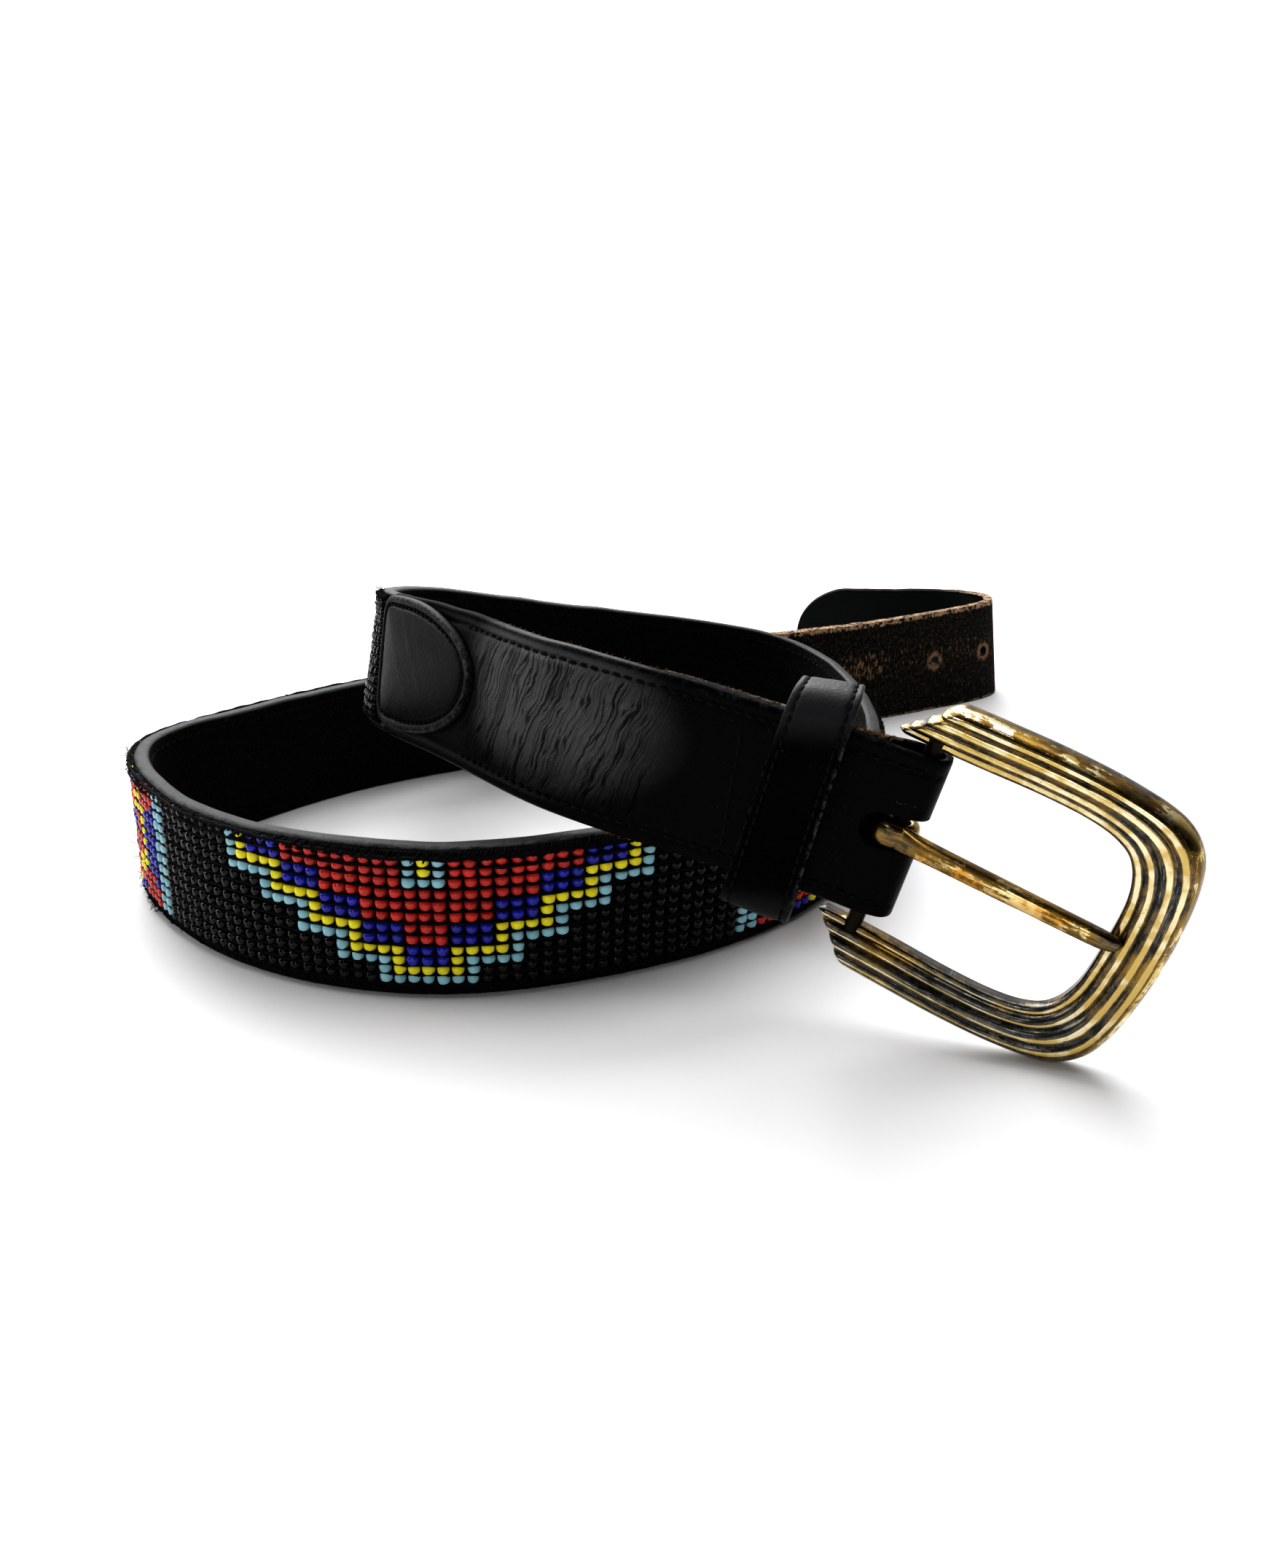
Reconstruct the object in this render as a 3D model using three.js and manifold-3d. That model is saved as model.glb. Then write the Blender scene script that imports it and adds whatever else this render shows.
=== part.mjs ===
// Beaded leather belt, unfastened, standing on its edge in one and a half loose turns.
// Millimetres, +Z up. The origin is under the middle of the belt, on the surface it stands on.
import * as THREE from 'three';
import { mergeVertices } from 'three/addons/utils/BufferGeometryUtils.js';
import Module from 'manifold-3d';

const wasm = await Module();
wasm.setup();

// ---------------------------------------------------------------- driving sizes
const STRAP_WIDTH = 35;
const STRAP_INNER = -2.1;        // inner (flesh) face, measured outward from the path
const STRAP_OUTER_BEADED = 1.1;  // outer face under the beads and along the tail
const STRAP_OUTER_PLAIN = 2.1;   // outer face of the plain leather at the buckle end
const EDGE_ROUND = 0.7;
const FOLD_WIDTH = 34.6;         // the leather is a little narrower where it folds round the bar
const FOLD_DROP = -1;            // and its middle sits this much lower than the strap's
const TURN_BACK_END = 52;        // the turned-back layer ends here, counted from the bar
const STEP_DOWN = 147;           // the thicker buckle end stops here, under the end tab
const TIP_START = 1043;          // the tail starts to round off
const TIP_END = 1062.6;
const HOLE_RADIUS = 1.75;
const HOLES_AT = [949.2, 972.8, 996.4, 1020.0];

const PANEL = { from: 155.2, to: 854, low: 3.4, high: 32.4, inner: 1.45, outer: 3.3 };
const TAB = { from: 103, straight: 140, to: 153, middle: 21, up: 13.8, down: 18.4, inner: 2.42, rim: 3.7, crown: 5.1 };
// the keeper stands aslant: its top is nearer the bar and narrower, and its side towards the bar is the longer one;
// each pair is the side towards the bar and the side away from it
const KEEPER = {
  from: 15.1, to: 27.5, lean: [0.07, 0.138], low: [-6.0, -5.0], high: [43.4, 41.8], inner: -4.35, outer: 8.4, wall: 1.9, round: 4.6,
};

const BAR_RADIUS = 1.6;
const POCKET = { reach: 1.4, radius: 2.25, leather: 1.4, wedge: 8, end: 12 };
const SLOT = { half: 3.7, to: 7.7, up: 2.6 };
const PRONG = { inner: 1.92, outer: 4.1, half: 2.5, along: 1.9 };

// The bar's middle, and the buckle's own axes: a from the bar to the far side, b along the bar, c out of its face.
const BAR = new THREE.Vector3(44.61, -124.75, 40.96);
const BAR_A = new THREE.Vector3(0.84403, -0.40358, -0.35318).normalize();
const BAR_B = new THREE.Vector3(0.31218, -0.16574, 0.93545).normalize();
const BAR_C = new THREE.Vector3().crossVectors(BAR_A, BAR_B);

// The belt's path from the bar to the tip. Each row is a point on the strap's bottom edge, at mid thickness,
// with the angle in degrees by which the strap's top leans outward (to the beaded side).
const PATH_COLUMNS = ['x', 'y', 'z', 'lean'];
const PATH = [
  [41.8, -122.4, 26.3, 9.6],
  [25.1, -119.5, 30.2, 3.9],
  [-8.1, -105.0, 36.2, -6.6],
  [-29.5, -87.0, 38.7, -8.7],
  [-51.5, -55.9, 38.8, -11.2],
  [-72.3, -17.5, 35.4, -12.6],   // raised hairpin, left
  [-65.0, 19.3, 29.1, -10.4],
  [-29.3, 44.0, 18.4, -5.2],
  [12.1, 58.5, 8.7, 1.3],
  [42.2, 53.0, 2.3, 9],
  [51.1, 25.3, 0, 15.1],        // right bend, down on the floor from here on
  [51.6, -11.6, 0, 15.5],
  [47.1, -46.9, 0, 11.9],
  [31.0, -72.4, 0, 7.9],
  [8.4, -89.3, 0, 5.4],         // front strand
  [-16.5, -99.4, 0, 4.5],
  [-41.8, -103.7, 0, 3.9],
  [-69.5, -98.5, 0, 0.7],
  [-97.6, -82.1, 0, -0.4],
  [-121.1, -54.7, 0, -2.4],      // left loop
  [-130.2, -24.2, 0, -2.2],
  [-114.4, 3.2, 0, -6.1],
  [-84.6, 31.4, 0, -7.3],
  [-38.5, 53.3, 0, -6.8],       // back strand
  [14.8, 69.2, 0, -5.1],
  [66.7, 81.7, 0, -2.3],
  [106.1, 98.8, 0, 1.9],
  [130.0, 115.0, 0, 5.3],        // curl of the tail
  [125.1, 133.7, 0, 3.8],
  [100.0, 140.9, 0, 3.6],
  [62.7, 148.3, 0, 2.8],
];
const ON_FLOOR = 10;             // rows from this one on stand on the floor

// Half of the buckle's outline, from a tip to the middle of the far side: points of the inner and of the outer edge.
const OUTLINE_COLUMNS = ['aInner', 'bInner', 'aOuter', 'bOuter'];
const OUTLINE = [
  [-7.4, 19.9, -7.4, 29.0],
  [0, 19.9, 0, 29.4],
  [8, 20.0, 8, 29.6],
  [20, 20.4, 20, 29.8],
  [28.8, 20.1, 29.3, 29.5],
  [34.0, 19.1, 35.4, 28.9],
  [37.4, 17.4, 39.8, 28.2],
  [39.2, 15.2, 43.6, 27.0],
  [40.4, 12.4, 46.7, 24.9],
  [41.1, 9.4, 49.1, 21.7],
  [41.4, 6.3, 50.7, 16.8],
  [41.5, 3.2, 51.7, 10.0],
  [41.5, 0, 52.2, 0],
];

// The frame's stepped ridges, from the inner edge (v 0) to the outer (v 1); each ends at its own a beside the bar.
const RIDGES = [
  { end: -7.2, section: [[0.00, -2.2], [0.20, -2.2], [0.20, 0.3], [0.15, 0.8], [0.07, 0.9], [0.00, 0.2]] },
  { end: -5.2, section: [[0.14, -2.2], [0.44, -2.2], [0.44, 1.4], [0.38, 1.9], [0.26, 2.1], [0.17, 1.6], [0.14, 0.6]] },
  { end: -2.8, section: [[0.38, -2.2], [0.70, -2.2], [0.70, 2.2], [0.64, 2.7], [0.52, 2.9], [0.42, 2.4], [0.38, 1.4]] },
  { end: -0.6, section: [[0.64, -2.2], [0.97, -2.2], [1.00, -1.4], [0.99, 0.4], [0.92, 1.9], [0.82, 2.8], [0.73, 3.0], [0.67, 2.5], [0.64, 1.6]] },
];

// Colour, roughness and metalness of each material.
const LOOKS = {
  strap: [0x17181a, 0.6, 0],
  panel: [0x0c0c10, 0.25, 0],
  tab: [0x1d1e20, 0.5, 0],
  keeper: [0x191a1c, 0.5, 0],
  metal: [0x8a7440, 0.3, 1],
};

// ---------------------------------------------------------------- the path
function naturalSpline(values) {
  const n = values.length;
  const m = new Array(n).fill(0);
  const c = new Array(n).fill(0);
  const d = new Array(n).fill(0);
  for (let i = 1; i < n - 1; i++) {
    const p = 4 - c[i - 1];
    c[i] = 1 / p;
    d[i] = (6 * (values[i + 1] - 2 * values[i] + values[i - 1]) - d[i - 1]) / p;
  }
  for (let i = n - 2; i > 0; i--) m[i] = d[i] - c[i] * m[i + 1];
  return (u) => {
    const i = Math.min(n - 2, Math.max(0, Math.floor(u)));
    const b = u - i;
    const a = 1 - b;
    return a * values[i] + b * values[i + 1] + ((a * a * a - a) * m[i] + (b * b * b - b) * m[i + 1]) / 6;
  };
}

const [pathX, pathY, pathZ, pathLean] = PATH_COLUMNS.map((_, k) => naturalSpline(PATH.map((row) => row[k])));
const UP = new THREE.Vector3(0, 0, 1);

function pathPoint(u) {
  return new THREE.Vector3(pathX(u), pathY(u), u >= ON_FLOOR ? 0 : Math.max(0, pathZ(u)));
}

// The strap's frame at path parameter u: p on its bottom edge, t along it, w up its width, n out of its beaded face.
function frameAt(u) {
  const e = 0.01;
  const last = PATH.length - 1;
  const p = pathPoint(u);
  const t = pathPoint(Math.min(last, u + e)).sub(pathPoint(Math.max(0, u - e))).normalize();
  const w0 = UP.clone().addScaledVector(t, -t.z).normalize();
  const n0 = new THREE.Vector3().crossVectors(w0, t);
  const lean = THREE.MathUtils.degToRad(pathLean(u));
  const w = w0.clone().multiplyScalar(Math.cos(lean)).addScaledVector(n0, Math.sin(lean));
  return { p, t, w, n: new THREE.Vector3().crossVectors(w, t) };
}

// Lengths are measured along the middle of the strap's width.
const lengths = [{ u: 0, s: 0 }];
{
  const steps = 3000;
  let before = null;
  for (let i = 0; i <= steps; i++) {
    const u = (i * (PATH.length - 1)) / steps;
    const f = frameAt(u);
    const middle = f.p.clone().addScaledVector(f.w, STRAP_WIDTH / 2);
    if (before) lengths.push({ u, s: lengths[lengths.length - 1].s + middle.distanceTo(before) });
    before = middle;
  }
}

function uAt(s) {
  let low = 0;
  let high = lengths.length - 1;
  while (high - low > 1) {
    const mid = (low + high) >> 1;
    if (lengths[mid].s <= s) low = mid; else high = mid;
  }
  const a = lengths[low];
  const b = lengths[high];
  return a.u + ((s - a.s) / (b.s - a.s)) * (b.u - a.u);
}

// A point out and up from the path; one on the bottom edge of a standing stretch lies exactly on the floor.
function place(f, out, up, edge) {
  const point = f.p.clone().addScaledVector(f.n, out).addScaledVector(f.w, up);
  if (edge && (f.p.z < 0.01 || point.z < 0)) point.addScaledVector(f.w, -point.z / f.w.z);
  return point;
}

// Positions along the strap, closer together where it bends.
function positions(from, to, sag = 0.07, longest = 11) {
  const list = [from];
  let s = from;
  while (s < to) {
    let step = longest;
    for (let k = 0; k < 12; k++) {
      const a = frameAt(uAt(s));
      const b = frameAt(uAt(Math.min(to, s + step)));
      const turn = a.t.angleTo(b.t);
      if ((turn * step) / 8 <= sag) break;
      step *= 0.8;
    }
    s += step;
    list.push(Math.min(s, to));
  }
  if (list.length > 2 && to - list[list.length - 2] < 1.5) list.splice(list.length - 2, 1);
  return list;
}

// ---------------------------------------------------------------- closed meshes
// Joins rings of points, each in the same anticlockwise order seen against the direction of travel, and caps both ends.
function skin(rings, outline) {
  const count = outline.length;
  const positions3 = [];
  rings.forEach((ring) => ring.forEach((p) => positions3.push(p.x, p.y, p.z)));
  const index = [];
  for (let k = 0; k < rings.length - 1; k++) {
    for (let i = 0; i < count; i++) {
      const j = (i + 1) % count;
      const a = k * count + i;
      const b = k * count + j;
      index.push(a, b, b + count, a, b + count, a + count);
    }
  }
  const flat = THREE.ShapeUtils.triangulateShape(outline.map(([x, y]) => new THREE.Vector2(x, y)), []);
  const end = (rings.length - 1) * count;
  flat.forEach(([a, b, c]) => {
    index.push(c, b, a);
    index.push(end + a, end + b, end + c);
  });
  const geometry = new THREE.BufferGeometry();
  geometry.setAttribute('position', new THREE.Float32BufferAttribute(positions3, 3));
  geometry.setIndex(index);
  return geometry;
}

// Sweeps a section along the strap; section(s) gives rows of [out, up, on the bottom edge].
function sweep(stations, section) {
  const rings = stations.map((s) => {
    const f = frameAt(uAt(s));
    return section(s).map(([out, up, edge]) => place(f, out, up, edge));
  });
  return skin(rings, section(stations[Math.floor(stations.length / 2)]));
}

function solid(geometry) {
  let g = geometry.clone();
  g.deleteAttribute('normal');
  g.deleteAttribute('uv');
  g = mergeVertices(g, 1e-4);
  return new wasm.Manifold(new wasm.Mesh({
    numProp: 3,
    vertProperties: new Float32Array(g.attributes.position.array),
    triVerts: new Uint32Array(g.index.array),
  }));
}

function geometryOf(manifold) {
  const mesh = manifold.getMesh();
  const geometry = new THREE.BufferGeometry();
  geometry.setAttribute('position', new THREE.BufferAttribute(new Float32Array(mesh.vertProperties), 3));
  geometry.setIndex(new THREE.BufferAttribute(new Uint32Array(mesh.triVerts), 1));
  return geometry;
}

function mesh(name, geometry, look) {
  const g = geometry.index ? geometry.toNonIndexed() : geometry;
  g.computeVertexNormals();
  const [color, roughness, metalness] = LOOKS[look];
  const made = new THREE.Mesh(g, new THREE.MeshStandardMaterial({ color, roughness, metalness }));
  made.name = name;
  return made;
}

// ---------------------------------------------------------------- strap
const lerp = THREE.MathUtils.lerp;
const clamp01 = (x) => Math.min(1, Math.max(0, x));

// Lower and upper edge of the strap, which is narrower at the fold.
function foldEdges(s) {
  const narrow = 1 - clamp01(s / (POCKET.end + 5));
  return [
    ((STRAP_WIDTH - FOLD_WIDTH) / 2 + FOLD_DROP) * narrow,
    STRAP_WIDTH - ((STRAP_WIDTH - FOLD_WIDTH) / 2 - FOLD_DROP) * narrow,
  ];
}

function strapSection(s) {
  const outer = s < STEP_DOWN ? STRAP_OUTER_PLAIN : STRAP_OUTER_BEADED;
  const inner = s > TURN_BACK_END && s < STEP_DOWN ? STRAP_INNER + 1.2 : STRAP_INNER;
  let [low, high] = foldEdges(s);
  if (s > TIP_START) {
    const x = (s - TIP_START) / (TIP_END + 0.8 - TIP_START);
    const half = (STRAP_WIDTH / 2) * Math.sqrt(Math.max(0, 1 - x * x));
    low = STRAP_WIDTH / 2 - half;
    high = STRAP_WIDTH / 2 + half;
  }
  const r = Math.min(EDGE_ROUND, (high - low) / 4);
  const edge = low < 0.01;
  return [
    [inner + r, low, edge], [outer - r, low, edge], [outer, low + r], [outer, STRAP_WIDTH / 2], [outer, high - r],
    [outer - r, high], [inner + r, high], [inner, high - r], [inner, STRAP_WIDTH / 2], [inner, low + r],
  ];
}

const thirds = (from, to) => [from, (2 * from + to) / 3, (from + 2 * to) / 3, to];

function strapStations() {
  const list = positions(POCKET.end + 0.3, TIP_START);
  const fixed = [
    ...thirds(KEEPER.from, KEEPER.to), TURN_BACK_END - 0.4, TURN_BACK_END + 0.4,
    STEP_DOWN - 0.4, STEP_DOWN + 0.4, PANEL.from, PANEL.to,
  ];
  const kept = list.filter((x, i) => i === 0 || i === list.length - 1 || fixed.every((s) => Math.abs(x - s) > 1.3));
  list.length = 0;
  list.push(...kept, ...fixed);
  list.sort((a, b) => a - b);
  for (const x of [0.3, 0.5, 0.68, 0.82, 0.92, 0.98, 1]) list.push(lerp(TIP_START, TIP_END, x));
  return list;
}

// The leather's fold round the bar: a profile seen along the strap's width, drawn in x along the strap and y outward.
function foldProfile() {
  const { reach, radius, leather, wedge, end } = POCKET;
  const outside = radius + leather;
  const shape = new THREE.Shape();
  shape.moveTo(end, STRAP_INNER + 0.02);
  shape.lineTo(end, STRAP_OUTER_PLAIN - 0.02);
  shape.lineTo(wedge, STRAP_OUTER_PLAIN + 0.5);
  shape.lineTo(5, STRAP_OUTER_PLAIN + 1.1);
  shape.lineTo(reach, outside);
  shape.absarc(-reach, 0, outside, Math.PI / 2, (3 * Math.PI) / 2, false);
  shape.lineTo(reach, -outside);
  shape.lineTo(5, STRAP_INNER - 1.1);
  shape.lineTo(wedge, STRAP_INNER - 0.5);
  shape.closePath();
  const pocket = new THREE.Path();
  pocket.moveTo(wedge, 0);
  pocket.lineTo(5, 1.2);
  pocket.lineTo(reach, radius);
  pocket.absarc(-reach, 0, radius, Math.PI / 2, (3 * Math.PI) / 2, false);
  pocket.lineTo(reach, -radius);
  pocket.lineTo(5, -1.2);
  pocket.closePath();
  shape.holes.push(pocket);
  return shape;
}

const foldFrame = frameAt(0);
// The pocket is centred on the bar where the bar crosses the strap's middle.
const pocketShift = BAR.clone().sub(foldFrame.p).addScaledVector(foldFrame.w, -STRAP_WIDTH / 2);
const pocketX = pocketShift.dot(foldFrame.t);
const pocketY = pocketShift.dot(foldFrame.n);

function foldGeometry() {
  const geometry = new THREE.ExtrudeGeometry(foldProfile(), { depth: 1, bevelEnabled: false, curveSegments: 8 });
  // lay the profile along the path: x runs along it, y out of it, z from the lower to the upper edge
  const at = geometry.attributes.position;
  for (let i = 0; i < at.count; i++) {
    const share = clamp01(at.getX(i) / POCKET.end);
    const s = at.getX(i) + pocketX * (1 - share);
    const f = s > 0 ? frameAt(uAt(s)) : { ...foldFrame, p: foldFrame.p.clone().addScaledVector(foldFrame.t, s) };
    const [low, high] = foldEdges(s);
    const point = place(f, at.getY(i) + pocketY * (1 - share), at.getZ(i) > 0.5 ? high - 0.02 : low + 0.02, false);
    at.setXYZ(i, point.x, point.y, point.z);
  }
  return geometry;
}

function slotGeometry() {
  const shape = new THREE.Shape();
  shape.moveTo(-12, SLOT.up - SLOT.half);
  shape.lineTo(SLOT.to - SLOT.half, SLOT.up - SLOT.half);
  shape.absarc(SLOT.to - SLOT.half, SLOT.up, SLOT.half, -Math.PI / 2, Math.PI / 2, false);
  shape.lineTo(-12, SLOT.up + SLOT.half);
  shape.closePath();
  const geometry = new THREE.ExtrudeGeometry(shape, { depth: 16, bevelEnabled: false, curveSegments: 6 });
  geometry.translate(0, 0, -8);
  const m = new THREE.Matrix4().makeBasis(foldFrame.t, foldFrame.w, foldFrame.n.clone().negate());
  m.setPosition(BAR.clone());
  geometry.applyMatrix4(m);
  return geometry;
}

function holeGeometry(s) {
  const f = frameAt(uAt(s));
  const geometry = new THREE.CylinderGeometry(HOLE_RADIUS, HOLE_RADIUS, 9, 12);
  const m = new THREE.Matrix4().makeBasis(f.t, f.n, new THREE.Vector3().crossVectors(f.t, f.n));
  m.setPosition(place(f, (STRAP_INNER + STRAP_OUTER_BEADED) / 2, STRAP_WIDTH / 2, false));
  geometry.applyMatrix4(m);
  return geometry;
}

function strapSolid() {
  let body = solid(sweep(strapStations(), strapSection));
  for (const s of HOLES_AT) body = body.subtract(solid(holeGeometry(s)));
  return body;
}

function foldSolid() {
  return solid(foldGeometry()).subtract(solid(slotGeometry()));
}

// ---------------------------------------------------------------- bead panel, end tab and keeper
function panelSection() {
  const { low, high, inner, outer } = PANEL;
  const middle = STRAP_WIDTH / 2;
  return [
    [inner, low], [outer - 0.7, low], [outer, low + 1.2], [outer, middle],
    [outer, high - 1.2], [outer - 0.7, high], [inner, high], [inner, middle],
  ];
}

function tabSection(s) {
  const reach = TAB.straight - TAB.from;
  const x = clamp01((TAB.straight - s) / (reach + 0.6));
  const root = Math.sqrt(1 - x * x);
  const { middle } = TAB;
  const up = TAB.up * root;
  const down = TAB.down * root;
  // padded: the crown rises inside the sewn border and falls off towards the straight edge
  const fill = clamp01((s - TAB.from) / 12) * clamp01((TAB.to - s) / 7);
  const rise = lerp(TAB.rim, TAB.crown, Math.sin((fill * Math.PI) / 2));
  const side = Math.min(3.2, up * 0.35);
  return [
    [TAB.inner, middle - down], [TAB.rim - 0.5, middle - down], [TAB.rim, middle - down + 0.25 * side],
    [TAB.rim, middle - down + side], [rise - 0.2, middle - down * 0.62], [rise, middle - 2],
    [rise - 0.2, middle + up * 0.62], [TAB.rim, middle + up - side],
    [TAB.rim, middle + up - 0.25 * side], [TAB.rim - 0.5, middle + up], [TAB.inner, middle + up],
  ];
}

// A rounded rectangle in (out, up), as a ring of points.
function roundedRing(inner, outer, low, high, radius, parts) {
  const corners = [
    [outer - radius, low + radius, -Math.PI / 2], [outer - radius, high - radius, 0],
    [inner + radius, high - radius, Math.PI / 2], [inner + radius, low + radius, Math.PI],
  ];
  const points = [];
  for (const [cx, cy, start] of corners) {
    for (let i = 0; i <= parts; i++) {
      const angle = start + (i / parts) * (Math.PI / 2);
      points.push([cx + radius * Math.cos(angle), cy + radius * Math.sin(angle)]);
    }
  }
  return points;
}

function keeperSolid() {
  const { from, to, lean, inner, outer, wall, round } = KEEPER;
  const loop = (stations, thick) => {
    const section = (s) => {
      const share = (s - from) / (to - from);
      const low = lerp(KEEPER.low[0], KEEPER.low[1], share) + thick;
      const high = lerp(KEEPER.high[0], KEEPER.high[1], share) - thick;
      return roundedRing(inner + thick, outer - thick, low, high, round - thick, 4);
    };
    const aslant = (s, up) => s - lerp(lean[0], lean[1], (s - from) / (to - from)) * (up - STRAP_WIDTH / 2);
    const rings = stations.map((s) => section(s).map(([out, up]) => place(frameAt(uAt(aslant(s, up))), out, up, false)));
    return solid(skin(rings, section(from)));
  };
  const stations = thirds(from, to);
  return loop(stations, 0).subtract(loop([from - 2, ...stations, to + 2], wall));
}

// ---------------------------------------------------------------- buckle
const buckleMatrix = new THREE.Matrix4().makeBasis(BAR_A, BAR_B, BAR_C).setPosition(BAR);

function outlineCurves() {
  const upper = OUTLINE.map((row) => Object.fromEntries(OUTLINE_COLUMNS.map((name, k) => [name, row[k]])));
  const lower = upper.slice(0, -1).reverse().map((row) => ({ ...row, bInner: -row.bInner, bOuter: -row.bOuter }));
  const all = [...upper, ...lower];
  const curve = (a, b) => new THREE.CatmullRomCurve3(all.map((row) => new THREE.Vector3(row[a], row[b], 0)), false, 'centripetal');
  return { inner: curve('aInner', 'bInner'), outer: curve('aOuter', 'bOuter'), rows: all.length };
}

function ridgeSolid({ end, section }) {
  const { inner, outer, rows } = outlineCurves();
  const first = OUTLINE[0][0];
  const stations = [];
  for (let k = 1; k <= (rows - 2) * 2 + 1; k++) stations.push(k / ((rows - 1) * 2));
  const line = (t) => ({ i: inner.getPoint(t), o: outer.getPoint(t) });
  const cross = ({ i, o }, grow) => {
    const mid = section.reduce((sum, [v]) => sum + v, 0) / section.length;
    return section.map(([v, c]) => {
      const vv = lerp(mid, v, grow);
      const cc = lerp(-0.6, c, grow);
      return new THREE.Vector3(lerp(i.x, o.x, vv), lerp(i.y, o.y, vv), cc);
    });
  };
  const rings = [];
  const nose = [[end, 0.45], [end + 0.5, 0.78], [end + 1.3, 0.95], [end + 2.4, 1]];
  const at = (a) => ({ i: new THREE.Vector3(a, OUTLINE[0][1], 0), o: new THREE.Vector3(a, lerp(OUTLINE[0][3], OUTLINE[1][3], (a - first) / -first), 0) });
  const mirror = (points) => points.map((p) => new THREE.Vector3(p.x, -p.y, p.z));
  for (const [a, grow] of nose) rings.push(cross(at(a), grow));
  for (const t of stations) {
    const l = line(t);
    if (l.i.x > end + 3.4 || t > 0.25 && t < 0.75) rings.push(cross(l, 1));
  }
  const closing = nose.map(([a, grow]) => mirror(cross(at(a), grow))).reverse();
  rings.push(...closing);
  return solid(skin(rings, section));
}

function barGeometry() {
  const geometry = new THREE.CylinderGeometry(BAR_RADIUS, BAR_RADIUS, 44, 14);
  return geometry;
}

function buckleSolid() {
  let body = solid(barGeometry());
  for (const ridge of RIDGES) body = body.add(ridgeSolid(ridge));
  return body;
}

// The prong: a band looped round the bar, and a shank that tapers to a rounded tip on the frame's far side.
function prongSolid() {
  const { inner, outer, half, along } = PRONG;
  const ring = new THREE.Shape();
  ring.absarc(0, 0, outer, 0, 2 * Math.PI, false);
  const bore = new THREE.Path();
  bore.absarc(0, 0, inner, 0, 2 * Math.PI, true);
  ring.holes.push(bore);
  const loop = new THREE.ExtrudeGeometry(ring, { depth: 2 * half, bevelEnabled: false, curveSegments: 12 });
  loop.translate(0, 0, -half);
  loop.rotateX(-Math.PI / 2);            // the loop's axis along the bar
  // columns: distance from the bar, height, half width along the bar, half thickness
  const shank = [
    [-1.6, 2.75, 1.6, 0.35], [-0.9, 2.8, 2.2, 0.55], [1.2, 2.9, 2.5, 0.85], [4, 3.05, 2.35, 1.25], [8, 3.1, 2.15, 1.5], [16, 3.15, 2.05, 1.6],
    [26, 3.15, 1.95, 1.6], [36, 3.1, 1.85, 1.6], [40.5, 3.0, 1.75, 1.55], [42.6, 2.85, 1.4, 1.25], [43.6, 2.75, 0.8, 0.7], [43.9, 2.7, 0.35, 0.3],
  ];
  const sides = 12;
  const outline = Array.from({ length: sides }, (_, i) => [Math.cos((i / sides) * 2 * Math.PI), Math.sin((i / sides) * 2 * Math.PI)]);
  const rings = shank.map(([a, c, hb, hc]) => outline.map(([x, y]) => new THREE.Vector3(a, x * hb, c + y * hc)));
  const body = solid(loop).add(solid(skin(rings, outline)));
  return body.translate(0, along, 0);
}

// ---------------------------------------------------------------- assembly
const belt = new THREE.Group();
belt.add(mesh('strap', geometryOf(strapSolid()), 'strap'));
belt.add(mesh('bar_fold', geometryOf(foldSolid()), 'strap'));
belt.add(mesh('bead_panel', sweep([PANEL.from, ...strapStations().filter((s) => s > PANEL.from + 1 && s < PANEL.to - 1), PANEL.to], panelSection), 'panel'));
belt.add(mesh('end_tab', sweep([0, 1.2, 3, 6, 10, 15, 20, 25, 30, 35, 40, 45, 48, 50.5, TAB.to - TAB.from].map((d) => TAB.from + d), tabSection), 'tab'));
belt.add(mesh('keeper', geometryOf(keeperSolid()), 'keeper'));

const buckle = new THREE.Group();
buckle.applyMatrix4(buckleMatrix);
buckle.add(mesh('buckle_frame', geometryOf(buckleSolid()), 'metal'));
buckle.add(mesh('prong', geometryOf(prongSolid()), 'metal'));
belt.add(buckle);

export default belt;
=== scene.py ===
import math

import bpy
import numpy as np
from mathutils import Matrix, Vector, kdtree


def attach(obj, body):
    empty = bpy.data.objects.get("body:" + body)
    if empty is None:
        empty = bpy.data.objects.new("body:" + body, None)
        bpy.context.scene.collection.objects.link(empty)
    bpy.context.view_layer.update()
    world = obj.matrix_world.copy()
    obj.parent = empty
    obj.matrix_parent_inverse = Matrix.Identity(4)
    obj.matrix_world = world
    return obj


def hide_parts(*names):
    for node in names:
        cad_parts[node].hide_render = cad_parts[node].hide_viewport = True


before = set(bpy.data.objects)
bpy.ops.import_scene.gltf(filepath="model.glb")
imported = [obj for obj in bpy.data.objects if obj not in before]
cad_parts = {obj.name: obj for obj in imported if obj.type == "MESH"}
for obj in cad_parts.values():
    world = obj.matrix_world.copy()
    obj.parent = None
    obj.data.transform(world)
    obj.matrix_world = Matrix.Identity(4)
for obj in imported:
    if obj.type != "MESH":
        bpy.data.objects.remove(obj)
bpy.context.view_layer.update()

RNG = np.random.default_rng(20261)
MM = 0.001

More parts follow.
